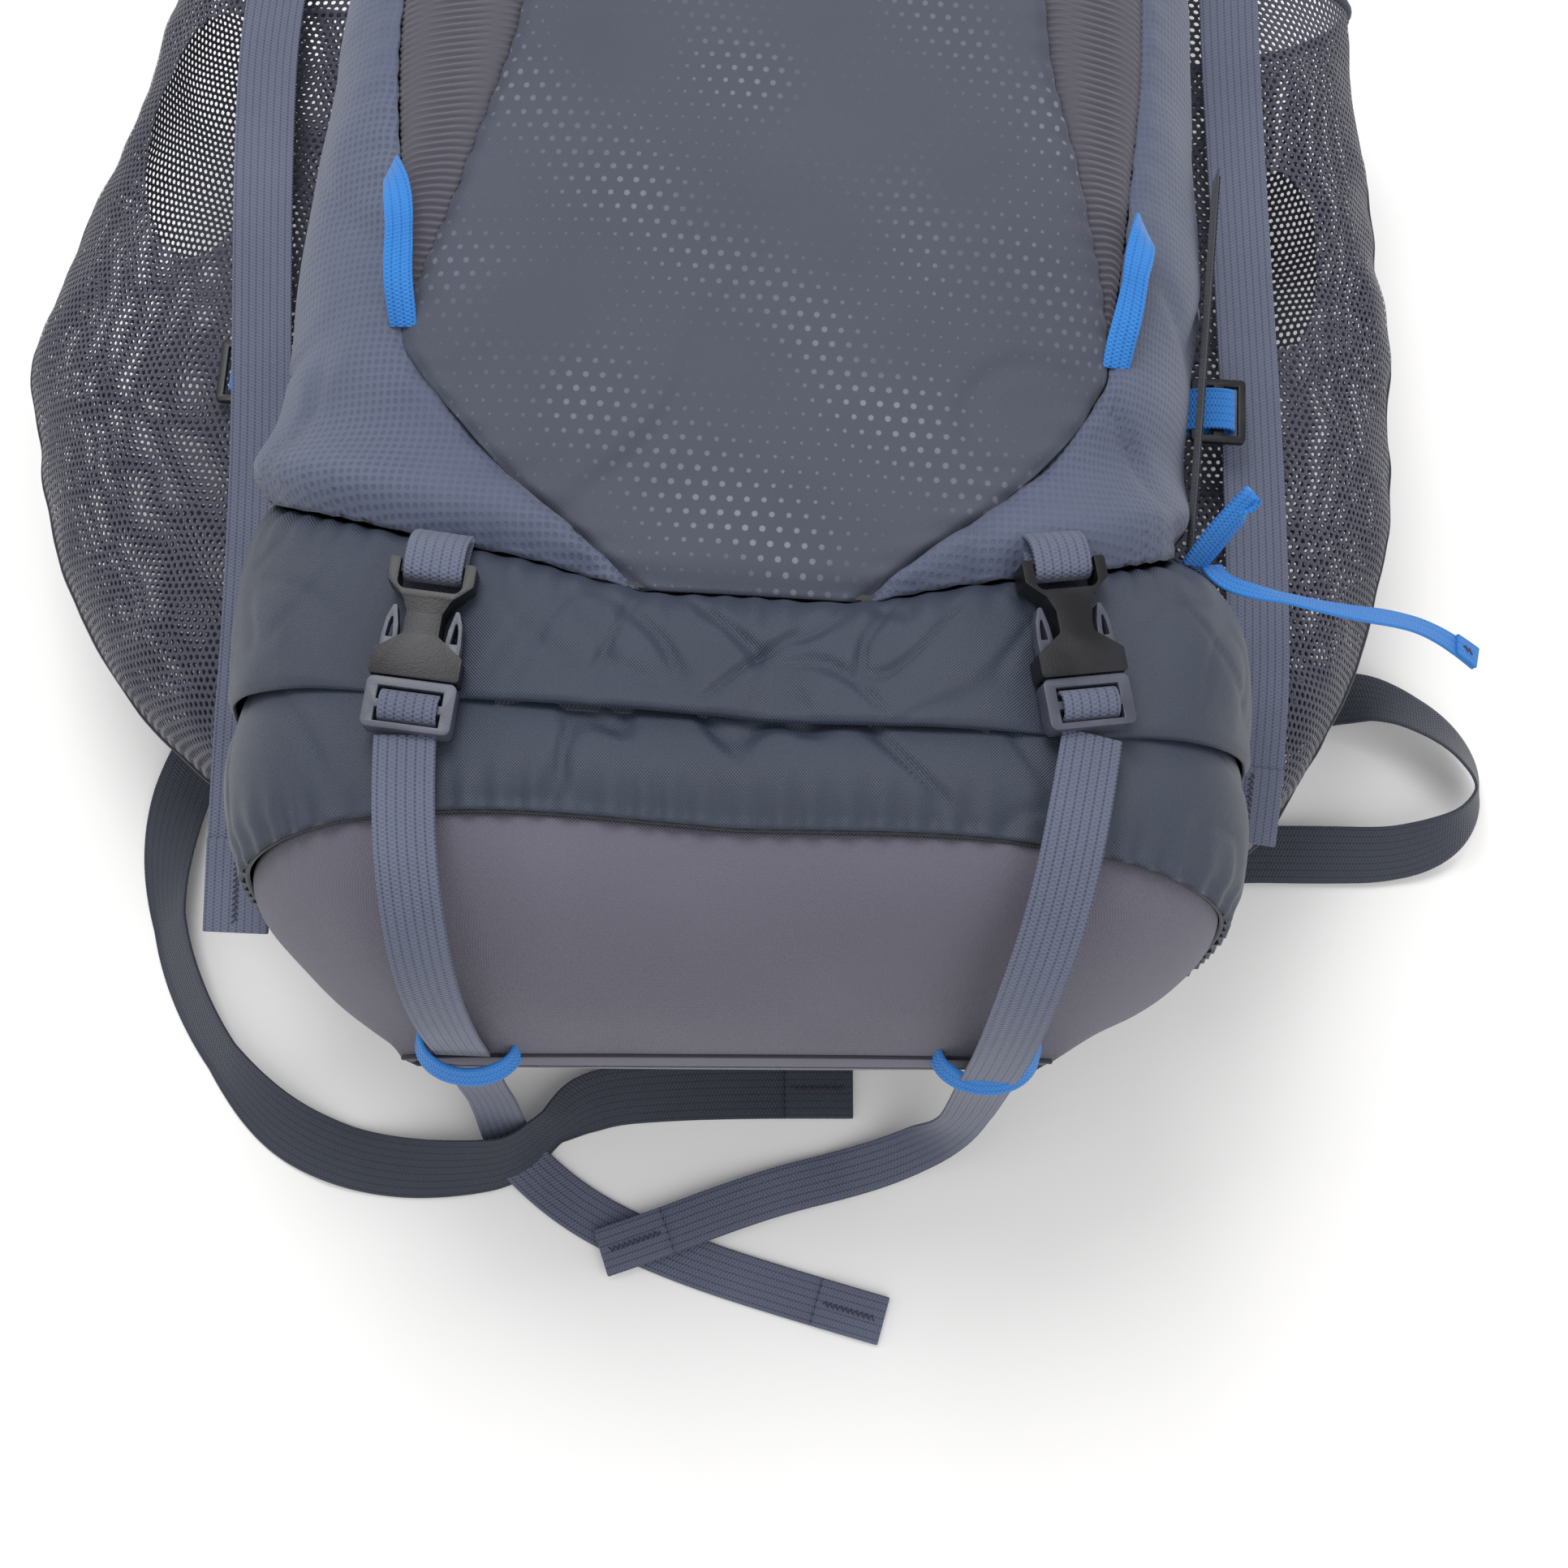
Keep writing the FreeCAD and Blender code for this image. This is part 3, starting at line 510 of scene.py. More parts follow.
def thicken(obj, thick, offset=-1.0):
    shell = obj.modifiers.new("thickness", "SOLIDIFY")
    shell.thickness = thick
    shell.offset = offset


def grid_mesh(across, along, place, inside=None):
    """A grid whose place(u, v) gives each corner's point and its flat cloth coordinates."""
    bm = bmesh.new()
    bmesh.ops.create_grid(bm, x_segments=across, y_segments=along, size=1.0)
    layer = bm.loops.layers.uv.new("weave")
    spots = {vert: place((vert.co.x + 1) / 2, (vert.co.y + 1) / 2) for vert in bm.verts}
    for face in bm.faces:
        for loop in face.loops:
            loop[layer].uv = spots[loop.vert][1]
    for vert, (spot, flat) in spots.items():
        vert.co = spot
    bm.normal_update()
    if inside is not None:
        outward = sum(face.normal.dot(face.calc_center_median() - inside) for face in bm.faces)
        if outward < 0:
            bmesh.ops.reverse_faces(bm, faces=bm.faces[:])
    return bm


def to_mesh(bm, name):
    mesh = bpy.data.meshes.new(name)
    bm.to_mesh(mesh)
    bm.free()
    return mesh


BAG_MIDDLE = at(0.0, 0.300, 0.150)


def panel(name, across, along, place, slot, node, thick=CLOTH):
    bm = grid_mesh(across, along, place, BAG_MIDDLE)
    obj = finish_piece(name, to_mesh(bm, name), slot)
    thicken(obj, thick)
    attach(obj, "bag")
    if node:
        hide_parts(node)
    return obj


# ---- straps ----
RIBBON_STEP = 0.0022     # spacing of a strap's stations


def route_points(points):
    """Points along the smooth line that a route steers."""
    data = bpy.data.curves.new("route", "CURVE")
    data.dimensions = "3D"
    data.resolution_u = 16
    spline = data.splines.new("NURBS")
    spline.points.add(len(points) - 1)
    for control, point in zip(spline.points, points):
        control.co = (*point, 1.0)
    spline.order_u = 3
    spline.use_endpoint_u = True
    obj = bpy.data.objects.new("route", data)
    mesh = bpy.data.meshes.new_from_object(obj)
    line = [vert.co.copy() for vert in mesh.vertices]
    bpy.data.objects.remove(obj)
    bpy.data.curves.remove(data)
    bpy.data.meshes.remove(mesh)
    return line


def evenly(line, step):
    """The same line with its points a step apart."""
    lengths = [0.0]
    for a, b in zip(line, line[1:]):
        lengths.append(lengths[-1] + (b - a).length)
    count = max(3, round(lengths[-1] / step))
    spots = []
    for number in range(count + 1):
        target = lengths[-1] * number / count
        index = min(max(bisect.bisect_right(lengths, target) - 1, 0), len(line) - 2)
        span = lengths[index + 1] - lengths[index]
        spots.append(line[index].lerp(line[index + 1], (target - lengths[index]) / span))
    return spots, lengths[-1]


def strap_stations(points, facings, step=RIBBON_STEP):
    """Middle, sideways and facing direction at each step along a strap's route."""
    spots, length = evenly(route_points(points), step)
    runs = [0.0]
    for a, b in zip(points, points[1:]):
        runs.append(runs[-1] + (b - a).length)
    keys = sorted(facings)
    shares = [runs[key] / runs[-1] for key in keys]
    stations = []
    for index, spot in enumerate(spots):
        share = index / (len(spots) - 1)
        after = min(bisect.bisect_left(shares, share), len(keys) - 1)
        before = max(after - 1, 0)
        gap = shares[after] - shares[before]
        mix = 1.0 if gap == 0 else min(1.0, max(0.0, (share - shares[before]) / gap))
        facing = Vector(facings[keys[before]]).lerp(Vector(facings[keys[after]]), mix)
        ahead = (spots[min(index + 1, len(spots) - 1)] - spots[max(index - 1, 0)]).normalized()
        facing = (facing - ahead * facing.dot(ahead)).normalized()
        stations.append((spot, ahead.cross(facing), facing))
    return stations, length


def strap(name, stations, length, width, slot, thick=WEB):
    """A flat strap through its stations, with rounded, slightly thicker selvedges."""
    last = len(stations) - 1

    def place(u, v):
        spot, side, facing = stations[round(v * last)]
        offset = (u - 0.5) * width
        point = spot + side * offset
        point.z = max(point.z, FLOOR_SKIN)
        return point, (offset, v * length)

    bm = grid_mesh(8, last, place)
    obj = finish_piece(name, to_mesh(bm, name), slot)
    thicken(obj, thick, 0.0)
    edge = obj.modifiers.new("selvedge", "BEVEL")
    edge.width = thick * 0.3
    edge.segments = 2
    edge.limit_method = "ANGLE"
    return obj


def end_fold(name, stations, count, width, slot):
    """The turned-back end of a strap, lying on its face."""
    part = [(spot + facing * WEB, side, facing) for spot, side, facing in stations[-count:]]
    return strap(name, part, count * RIBBON_STEP, width * 0.985, slot)


def stitch_mesh(name, stitches, look, slot, size=(0.0022, 0.0005, 0.0005)):
    """Small thread stitches, each given by its middle, its direction and the way its face looks."""
    bm = bmesh.new()
    for spot, ahead, facing in stitches:
        side = ahead.cross(facing).normalized()
        turn = Matrix((ahead.normalized(), side, facing)).transposed().to_4x4()
        grown = Matrix.Translation(spot) @ turn @ Matrix.Diagonal((*size, 1.0))
        bmesh.ops.create_cube(bm, size=1.0, matrix=grown)
    bmesh.ops.bevel(bm, geom=bm.edges[:], offset=0.00016, segments=1, profile=0.5, affect="EDGES",
                    material=-1)
    return finish_piece(name, to_mesh(bm, name), slot, look)


def bartack(name, stations, count, slot):
    """A dense lengthwise zigzag sewn into a folded strap end."""
    stitches = []
    rise = WEB * 1.7
    for spot, side, facing in stations[2 - count:-2]:
        ahead = side.cross(facing)
        for sway, share in ((0.0011, 0.0), (-0.0011, 0.5)):
            top = spot + facing * rise + side * sway * 0.4 + ahead * (share * RIBBON_STEP)
            stitches.append((top, -ahead + side * sway * 900, facing))
    return stitch_mesh(name, stitches, THREAD, slot)


def free_strap(name, width, slot, body="bag", join=None, fold=0):
    """A loose strap along its route, at its real length."""
    points, facings = ROUTES[name]
    points = [at(*point) for point in points]
    stations, length = strap_stations(points, facings)
    obj = strap(name + "_web", stations, length, width, slot)
    extras = []
    if fold:
        extras.append(end_fold(name + "_fold", stations, fold, width, slot))
        extras.append(bartack(name + "_bartack", stations, fold, slot))
    if join:
        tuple(points[0])
        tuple(points[1])
        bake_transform(obj)
    else:
        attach(obj, body)
    for extra in extras:
        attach(extra, body)
    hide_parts(name)
    path = [station[0] for station in stations]
    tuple(points[0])


free_strap("pad_tail_left", PAD_STRAP, "webbing", join="pad_buckle_half_left", fold=14)
free_strap("pad_tail_right", PAD_STRAP, "webbing", join="pad_buckle_half_right", fold=14)
free_strap("belt_tail_left", BELT, "belt_webbing", fold=14)
free_strap("belt_loop_right", BELT, "belt_webbing")
free_strap("side_tail_left", BELT, "webbing", fold=17)
free_strap("side_tail_right", BELT, "webbing", fold=14)
free_strap("zip_pull_long", PULL, "accent", body="side_slider", fold=6)


# ---- the bag's surface ----
SECTION_STEPS = 400


def unit_section(power):
    """Half a squared oval from the front centre to the back centre, evenly spaced along its edge."""
    half, rise = 0.175, 0.1085
    raw = []
    for number in range(SECTION_STEPS * 2 + 1):
        angle = math.pi * number / (SECTION_STEPS * 2)
        reach = (abs(math.sin(angle) / half) ** power + abs(math.cos(angle) / rise) ** power) ** (-1 / power)
        raw.append(Vector((reach * math.sin(angle), 0.0, reach * math.cos(angle))))
    length = sum((b - a).length for a, b in zip(raw, raw[1:]))
    spots, total = evenly(raw, length / SECTION_STEPS)
    return [(spot.x / half, spot.z / rise) for spot in spots]


OVAL = unit_section(2.4)
BOX = unit_section(4.2)


def read_section(section, share):
    """Width and rise of a section, each from -1 to 1, at a share of its girth."""
    place = min(max(share, 0.0), 1.0) * (len(section) - 1)
    index = min(int(place), len(section) - 2)
    before, after = section[index], section[index + 1]
    return lerp(before[0], after[0], place - index), lerp(before[1], after[1], place - index)


def bag_point(girth, height):
    """A point on the bag; girth runs from 0 at the front centre to 1 and -1 at the back centre."""
    if girth > 1:
        girth -= 2
    side = -1 if girth < 0 else 1
    square = through(BOXINESS, height)
    oval, box = read_section(OVAL, abs(girth)), read_section(BOX, abs(girth))
    low, high = through(LOW_Z, height), through(HIGH_Z, height)
    x = side * lerp(oval[0], box[0], square) * through(HALF_WIDTH, height)
    # the filled base lifts its seam, more on the right
    lift = max(0.0, BASE_LIFT + BASE_SKEW * x) * max(0.0, 1 - height / 0.070)
    if x > DRAW_FROM:
        share = (x - DRAW_FROM) / (0.176 - DRAW_FROM)
        x -= through(DRAWN_IN, height) * share * share * (3 - 2 * share)
    return at(x, height + lift, (low + high) / 2 + lerp(oval[1], box[1], square) * (high - low) / 2)


def bag_normal(girth, height, spot):
    around = bag_point(girth + 0.002, height) - spot
    upward = bag_point(girth, height + 0.001) - spot
    return around.cross(upward).normalized()


def girth_across(x, height):
    """The girth share of a place on the front, given by its distance from the middle."""
    ratio = x / through(HALF_WIDTH, height)
    low, high = 0.0, 0.42
    for turn in range(24):
        middle = (low + high) / 2
        if read_section(BOX, middle)[0] < ratio:
            low = middle
        else:
            high = middle
    return low


PANEL_EDGE = [(height, girth_across(x, height)) for height, x in PANEL_HALF]
GUSSET_EDGE = [(height, girth_across(x, height)) for height, x in GUSSET_HALF]
SHELL_EDGE = [stop for stop in PANEL_EDGE if stop[0] < 0.241] + GUSSET_EDGE
HALF_GIRTH = 0.535       # metres from the front centre to the back centre


def seam_dip(distance, depth=0.0022, reach=0.0035):
    return -depth * bell(distance, reach)


def pucker(distance, along, seed=0.0):
    """Small gathers that run out from a seam."""
    wander = noise.noise(Vector((along * 30, seed, 0.3)))
    return 0.0007 * math.sin(along * math.tau / 0.012 + wander * 4) * bell(distance, 0.012)


def buckle_room(x, height):
    """1 away from the sleeping-pad buckles, less where they press on the cloth."""
    press = bell(abs(x) - 0.110, 0.026) * bell(height - 0.125, 0.050)
    return 1.0 - 0.9 * press


def raised(girth, height, lift):
    """Lift a point of the bag along its normal, less where buckles press."""
    spot = bag_point(girth, height)
    lift *= buckle_room(spot.x - MID_X, height) if lift > 0 else 1.0
    return spot + bag_normal(girth, height, spot) * lift


def printed_panel():
    """The dotted panel down the middle of the front."""
    def place(u, v):
        v = toward_edges(v, 0.25)
        height = lerp(0.149, BAG_TOP, v)
        edge = through(PANEL_EDGE, height)
        across = toward_edges(u) * 2 - 1
        girth = across * edge
        apart = (1 - abs(across)) * edge * HALF_GIRTH
        bottom = height - 0.149
        spot = bag_point(girth, height)
        lift = seam_dip(apart) + pucker(apart, height, across) + seam_dip(bottom, 0.003, 0.006)
        lift += 0.0022 * rough(spot, 0.10, 2.0) + 0.0010 * rough(spot, 0.035, 5.0)
        lift += 0.0016 * bell(height - 0.19, 0.03) * rough(spot, 0.03, 9.0)
        lift -= 0.0016 * valley(spot, 0.11, 0.06, 4.0) * bell(height - 0.20, 0.06)
        return raised(girth, height, lift), (girth * HALF_GIRTH, height)
    panel("printed_panel", 110, 190, place, "shell_panel", "front_panel")


def side_panel(side):
    """Ripstop from the front seams round the side, slack above the lower seam."""
    def place(u, v):
        share_u, share_v = toward_edges(u), toward_edges(v)
        girth, height = share_u, lerp(0.2, BAG_TOP, share_v)
        for turn in range(10):
            height = lerp(through(SHELL_LOW, girth), BAG_TOP, share_v)
            girth = lerp(through(SHELL_EDGE, height), SIDE_END, share_u)
        front = (girth - through(SHELL_EDGE, height)) * HALF_GIRTH
        bottom = height - through(SHELL_LOW, girth)
        spot = bag_point(girth * side, height)
        lift = seam_dip(front) + seam_dip(bottom, 0.003, 0.005) + pucker(front, height, side)
        lift += 1.5 * pucker(bottom, girth * HALF_GIRTH, 3.0)
        lift += 0.0030 * rough(spot, 0.08, 1.0) + 0.0015 * rough(spot, 0.032, 3.0)
        # a slack fold swells over the lower seam, with a hollow above it
        lift += 0.0085 * bell(bottom - 0.013, 0.011) * bell(girth - 0.25, 0.17)
        lift -= 0.0028 * bell(bottom - 0.038, 0.012) * bell(girth - 0.25, 0.12)
        lift -= 0.0024 * valley(spot, 0.07, 0.08, 6.0 + side) * bell(bottom - 0.05, 0.09)
        return raised(girth * side, height, lift), (girth * HALF_GIRTH * side, height)
    name = "left" if side < 0 else "right"
    panel("side_ripstop_" + name, 96, 150, place, "shell_side", "side_panel_" + name)


def stretch_gusset(side):
    """Ribbed stretch cloth let in between the front panel and a side panel."""
    def place(u, v):
        height = lerp(0.241, BAG_TOP, v)
        inner, outer = through(PANEL_EDGE, height), through(GUSSET_EDGE, height)
        girth = lerp(inner, outer, u)
        apart = min(u, 1 - u) * (outer - inner) * HALF_GIRTH
        rib = 0.00045 * math.sin((height + girth * 0.05) * math.tau / 0.0028)
        spot = bag_point(girth * side, height)
        lift = seam_dip(apart, 0.0022, 0.0045) + rib - 0.0012 + 0.0012 * rough(spot, 0.06, 7.0)
        return raised(girth * side, height, lift), (girth * HALF_GIRTH * side, height)
    name = "left" if side < 0 else "right"
    return panel("stretch_gusset_" + name, 12, 768, place, "shell_stretch", None)


def upper_roll():
    """The top half of the sleeping-bag compartment: it swells, and its lip hangs over the zip."""
    def place(u, v):
        girth = lerp(-SIDE_END, SIDE_END, u)
        low, high = through(LIP_LINE, abs(girth)), through(SHELL_LOW, abs(girth))
        height = lerp(low, high, toward_edges(v, 0.3))
        spot = bag_point(girth, height)
        front = bell(girth, 0.34)
        swell = math.sin(math.pi * min(1.0, 0.28 + 0.72 * v)) ** 0.7
        lift = (0.0035 + 0.0075 * front) * swell - 0.0045 * v ** 8
        lift += 0.0022 * rough(spot, 0.05, 11.0) * math.sin(math.pi * v) + 0.0009 * rough(spot, 0.016, 12.0)
        crumple = (0.25 + bell(girth - 0.02, 0.16)) * math.sin(math.pi * v)
        slant = Vector((spot.x + spot.y * 0.9, spot.y * 0.5 - spot.x * 0.2, spot.z))
        cross = Vector((spot.x - spot.y * 0.8, spot.y * 0.45 + spot.x * 0.2, spot.z))
        lift -= 0.0030 * valley(slant, 0.034, 0.13, 14.0) * crumple
        lift -= 0.0026 * valley(cross, 0.026, 0.15, 17.0) * crumple
        lift += 1.2 * pucker(high - height, girth * HALF_GIRTH, 5.0) - 0.002 * bell(v, 0.035)
        sag = 0.0018 * rough(Vector((spot.x, 0.0, 0.0)), 0.07, 3.0) * (1 - v)
        return raised(girth, height + sag, lift), (girth * HALF_GIRTH, height)
    panel("upper_roll", 460, 34, place, "shell_lower", "lower_shell")


def lower_roll():
    """The lower half of the compartment, from the boot's seam up under the lip."""
    def place(u, v):
        girth = lerp(-SIDE_END, SIDE_END, u)
        low, high = through(BOOT_TOP, abs(girth)), through(LIP_LINE, abs(girth)) + 0.012
        height = lerp(low, high, v)
        spot = bag_point(girth, height)
        front = bell(girth, 0.30)
        lift = (0.0015 + 0.0050 * front) * math.sin(math.pi * min(1.0, v * 1.08)) ** 0.8 - 0.0035 * v ** 6
        lift += 0.0024 * rough(spot, 0.045, 21.0) * math.sin(math.pi * v)
        slant = Vector((spot.x + spot.y * 0.8, spot.y * 0.5 - spot.x * 0.2, spot.z))
        lift -= 0.0030 * valley(slant, 0.03, 0.13, 23.0) * (0.3 + bell(girth, 0.2)) * math.sin(math.pi * v)
        lift += 1.4 * pucker(height - low, girth * HALF_GIRTH, 8.0) + 0.0016 * bell(v, 0.05)
        return raised(girth, height, lift), (girth * HALF_GIRTH, height)
    return panel("lower_roll", 420, 30, place, "shell_lower", None)


def boot():
    """The base: one ring of cloth closed by the end panel, with a piped seam along its front."""
    def place(u, v):
        girth = u * 2 - 1
        height = lerp(0.0, through(BOOT_TOP, abs(girth)), v)
        spot = bag_point(girth, height)
        folds = Vector((spot.x, spot.y * 0.35, spot.z * 0.5))
        lift = 0.0026 * rough(spot, 0.09, 31.0) + 0.0018 * rough(folds, 0.028, 32.0) - 0.0026 * v ** 10
        lift *= min(1.0, v * 8)
        return raised(girth, height, lift), (girth * HALF_GIRTH, height)
    bm = grid_mesh(420, 34, place, BAG_MIDDLE)
    bmesh.ops.remove_doubles(bm, verts=bm.verts[:], dist=0.00002)
    base_edges = [edge for edge in bm.edges
                  if edge.is_boundary and max(vert.co.y for vert in edge.verts) < SEAM_Y + BASE_RIM]
    end = bmesh.ops.contextual_create(bm, geom=base_edges)["faces"]
    for face in bmesh.ops.inset_region(bm, faces=end, thickness=0.006, depth=0.0025)["faces"]:
        face.smooth = True
    bmesh.ops.recalc_face_normals(bm, faces=bm.faces[:])
    obj = finish_piece("boot_cloth", to_mesh(bm, "boot_cloth"), "shell_base")
    thicken(obj, CLOTH)
    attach(obj, "bag")
    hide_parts("base_boot")


def back_panel():
    """The plain cloth between the side panels, behind the harness."""
    def place(u, v):
        girth = lerp(SIDE_END, 2 - SIDE_END, u)
        low = through(BOOT_TOP, 1.0)
        height = lerp(low, BAG_TOP, v)
        turned = girth - 2 if girth > 1 else girth
        spot = bag_point(turned, height)
        lift = 0.0010 * rough(spot, 0.09, 41.0) - 0.001
        return raised(turned, height, lift), (girth * HALF_GIRTH, height)
    panel("back_panel", 90, 130, place, "shell_lower", "back_sheet")


def piping(name, girths, height_of, radius, look, slot, lift=0.0):
    """A corded seam that follows the bag at a height set by its girth share."""
    line = []
    for girth in girths:
        height = height_of(abs(girth))
        line.append(raised(girth, height, lift))
    return tube(name, line, radius, look, slot, "bag")


def tube(name, line, radius, look, slot, body, closed=False):
    """A round cord through the given points."""
    bm = bmesh.new()
    rings = []
    count = len(line)
    for index, spot in enumerate(line):
        before = line[(index - 1) % count] if closed else line[max(index - 1, 0)]
        after = line[(index + 1) % count] if closed else line[min(index + 1, count - 1)]
        turn = (after - before).to_track_quat("Z", "Y").to_matrix().to_4x4()
        ring = bmesh.ops.create_circle(bm, segments=8, radius=radius, matrix=Matrix.Translation(spot) @ turn)
        rings.append(ring["verts"])
    ends = zip(rings, rings[1:] + rings[:1]) if closed else zip(rings, rings[1:])
    for first, second in ends:
        for index in range(8):
            bm.faces.new((first[index], first[(index + 1) % 8], second[(index + 1) % 8], second[index]))
    if not closed:
        bm.faces.new(rings[0])
        bm.faces.new(rings[-1])
    bmesh.ops.recalc_face_normals(bm, faces=bm.faces[:])
    obj = finish_piece(name, to_mesh(bm, name), slot, look)
    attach(obj, body)
    return obj


def spread(low, high, count):
    return [lerp(low, high, number / (count - 1)) for number in range(count)]


printed_panel()
for side in (-1, 1):
    side_panel(side)
gusset_pieces = [stretch_gusset(side) for side in (-1, 1)]
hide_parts("gussets")
upper_roll()
lower_piece = lower_roll()
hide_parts("zip_flap")
boot()
back_panel()
piping("base_piping", spread(-0.46, 0.46, 150), lambda girth: 0.0, 0.0011, DARK_THREAD, "shell_base")
piping("boot_seam", spread(-SIDE_END, SIDE_END, 260), lambda girth: through(BOOT_TOP, girth), 0.0009,
       DARK_THREAD, "shell_base", -0.0006)


# ---- mesh pockets ----
def pocket_wall(side, height):
    """How far from the middle a pocket leaves the bag."""
    return through(HALF_WIDTH, height) - (through(DRAWN_IN, height) if side > 0 else 0.0) + 0.0005


def pocket_point(side, bulges, u, height, layer):
    """layer 1 is the front of a pocket and -1 its back; u runs from the bag to the pocket's outer edge."""
    angle = u * math.pi / 2
    wall = pocket_wall(side, height)
    z = POCKET_MID_Z + layer * POCKET_RISE * math.cos(angle)
    spot = at(side * (wall + (through(bulges, height) - wall) * math.sin(angle)), height, z)
    slack = math.sin(math.pi * u) * min(1.0, (height - 0.106) / 0.03)
    spot.z += slack * (0.006 * rough(spot, 0.05, 50.0 + layer) + 0.003 * rough(spot, 0.02, 52.0 + layer))
    spot.x += side * (0.0035 * rough(spot, 0.045, 54.0) + 0.0015 * rough(spot, 0.016, 55.0)) * u
    return spot


def mesh_pocket(side, bulges, hole):
    """Two layers of open mesh with bound edges, and an oval hole in the front one beside the strap."""
    name = "left" if side < 0 else "right"
    low, high = 0.106, 0.488
    hole_x, hole_height, hole_half, hole_long = hole
    for layer in (1, -1):
        def place(u, v):
            height = lerp(low, high, v)
            spot = pocket_point(side, bulges, u, height, layer)
            slide = 0.0 if layer > 0 else 0.0011
            return spot, (u * (through(bulges, height) - 0.14) * 1.25 + slide, height + slide)
        bm = grid_mesh(80, 200, place, at(side * 0.15, 0.3, POCKET_MID_Z))
        if layer > 0:
            def in_hole(spot):
                x, height = spot.x - MID_X - hole_x, spot.y - SEAM_Y - hole_height
                return (x / hole_half) ** 2 + (height / hole_long) ** 2 < 1
            cut = [face for face in bm.faces if in_hole(face.calc_center_median())]
            bmesh.ops.delete(bm, geom=cut, context="FACES")
        word = "front" if layer > 0 else "back"
        obj = finish_piece("pocket_" + name + "_" + word, to_mesh(bm, "pocket"), "mesh")
        thicken(obj, 0.0005)
        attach(obj, "bag")
    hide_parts("mesh_pocket_" + name)
    mouth = [pocket_point(side, bulges, share, high, layer) for layer, share in
             [(1, s) for s in spread(0, 1, 24)] + [(-1, s) for s in spread(0.97, 0, 23)]]
    tube("pocket_mouth_" + name, mouth, 0.0022, LOOKS["belt_webbing"], "belt_webbing", "bag")
    outer = [pocket_point(side, bulges, 1.0, height, 1) for height in spread(low, high, 120)]
    tube("pocket_edge_" + name, outer, 0.0011, DARK_THREAD, "mesh", "bag")
    ring = []
    for number in range(72):
        angle = math.tau * number / 72
        x = hole_x + hole_half * math.cos(angle)
        height = hole_height + hole_long * math.sin(angle)
        wall = pocket_wall(side, height)
        reach = (abs(x) - wall) / (through(bulges, height) - wall)
        u = math.asin(min(max(reach, 0.0), 0.999)) * 2 / math.pi
        ring.append(pocket_point(side, bulges, u, height, 1))
    tube("pocket_hole_" + name, ring, 0.0015, LOOKS["mesh"], "mesh", "bag", closed=True)


mesh_pocket(-1, POCKET_LEFT, (-0.2355, 0.383, 0.0275, 0.057))
mesh_pocket(1, POCKET_RIGHT, (0.2040, 0.352, 0.0160, 0.040))


# ---- pieces that keep their CAD shape, softened ----
def copied(node, keep=None):
    """A merged copy of a CAD node's mesh, or of those of its solids that keep() accepts."""
    bm = bmesh.new()
    bm.from_mesh(frame["nodes"][node].data)
    bmesh.ops.remove_doubles(bm, verts=bm.verts[:], dist=0.000005)
    bmesh.ops.dissolve_limit(bm, angle_limit=math.radians(4.0), verts=bm.verts[:], edges=bm.edges[:])
    if keep:
        left = set(bm.verts)
        while left:
            island, edge = set(), [left.pop()]
            while edge:
                vert = edge.pop()
                island.add(vert)
                for link in vert.link_edges:
                    other = link.other_vert(vert)
                    if other in left:
                        left.discard(other)
                        edge.append(other)
            middle = sum((vert.co for vert in island), Vector()) / len(island)
            if not keep(middle):
                bmesh.ops.delete(bm, geom=list(island), context="VERTS")
    return bm


def moulded(node, name, body, rounding=0.0005, slot=None, keep=None, replaces=True):
    """A CAD part with every sharp edge rounded."""
    slot = slot or NODE_SLOTS[node]
    bm = copied(node, keep)
    corner = math.radians(25)
    sharp = [edge for edge in bm.edges if len(edge.link_faces) == 2 and edge.calc_face_angle() > corner]
    bmesh.ops.bevel(bm, geom=sharp, offset=rounding, segments=3, profile=0.5, affect="EDGES",
                    clamp_overlap=True, material=-1)
    mesh = to_mesh(bm, name)
    obj = finish_piece(name, mesh, slot)
    mesh.set_sharp_from_angle(angle=math.radians(40))
    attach(obj, body)
    if replaces:
        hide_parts(node)
    return obj


# each moulded or cast part with the body it rides
HARDWARE = [
    ("cord_lock_barrel", "bag"), ("cord_lock_button", "cord_lock_plunger"), ("lid_buckles_female", "bag"),
    ("lid_buckles_male", "lid"), ("side_sliders", "bag"), ("belt_adjusters", "bag"),
    ("harness_females", "bag"), ("hip_male", "hip_buckle_half"), ("sternum_male", "sternum_buckle_half"),
    ("lid_zip_slider", "lid_slider"), ("side_zip_slider", "side_slider"),
    ("lower_zip_slider", "lower_slider"),
]
for node, body in HARDWARE:
    moulded(node, node + "_moulded", body)
for side in ("left", "right"):
    moulded("pad_female_" + side, "pad_buckle_body_" + side, "bag", 0.0009)
    moulded("pad_male_" + side, "pad_buckle_ladder_" + side, "pad_buckle_half_" + side, 0.0008)
    for which in ("outer", "inner"):
        body = "prong_" + which + "_" + side
        moulded("pad_prong_" + which + "_" + side, "pad_buckle_prong_" + which + "_" + side, body, 0.0006)


# ---- webbing at the sleeping-pad buckles ----
def buckle_frame(mouth, tilt, roll):
    """Turns buckle coordinates, with the female half along +Y, into the pack's."""
    turn = Matrix.Rotation(math.radians(tilt), 4, "Z") @ Matrix.Rotation(math.radians(roll), 4, "Y")
    return Matrix.Translation(mouth) @ turn


PAD_BUCKLES = {
    "left": buckle_frame(at(-0.1056, 0.1103, 0.268), -4.5, 0.0),
    "right": buckle_frame(at(0.1086, 0.1240, 0.268), 12.0, 10.0),
}
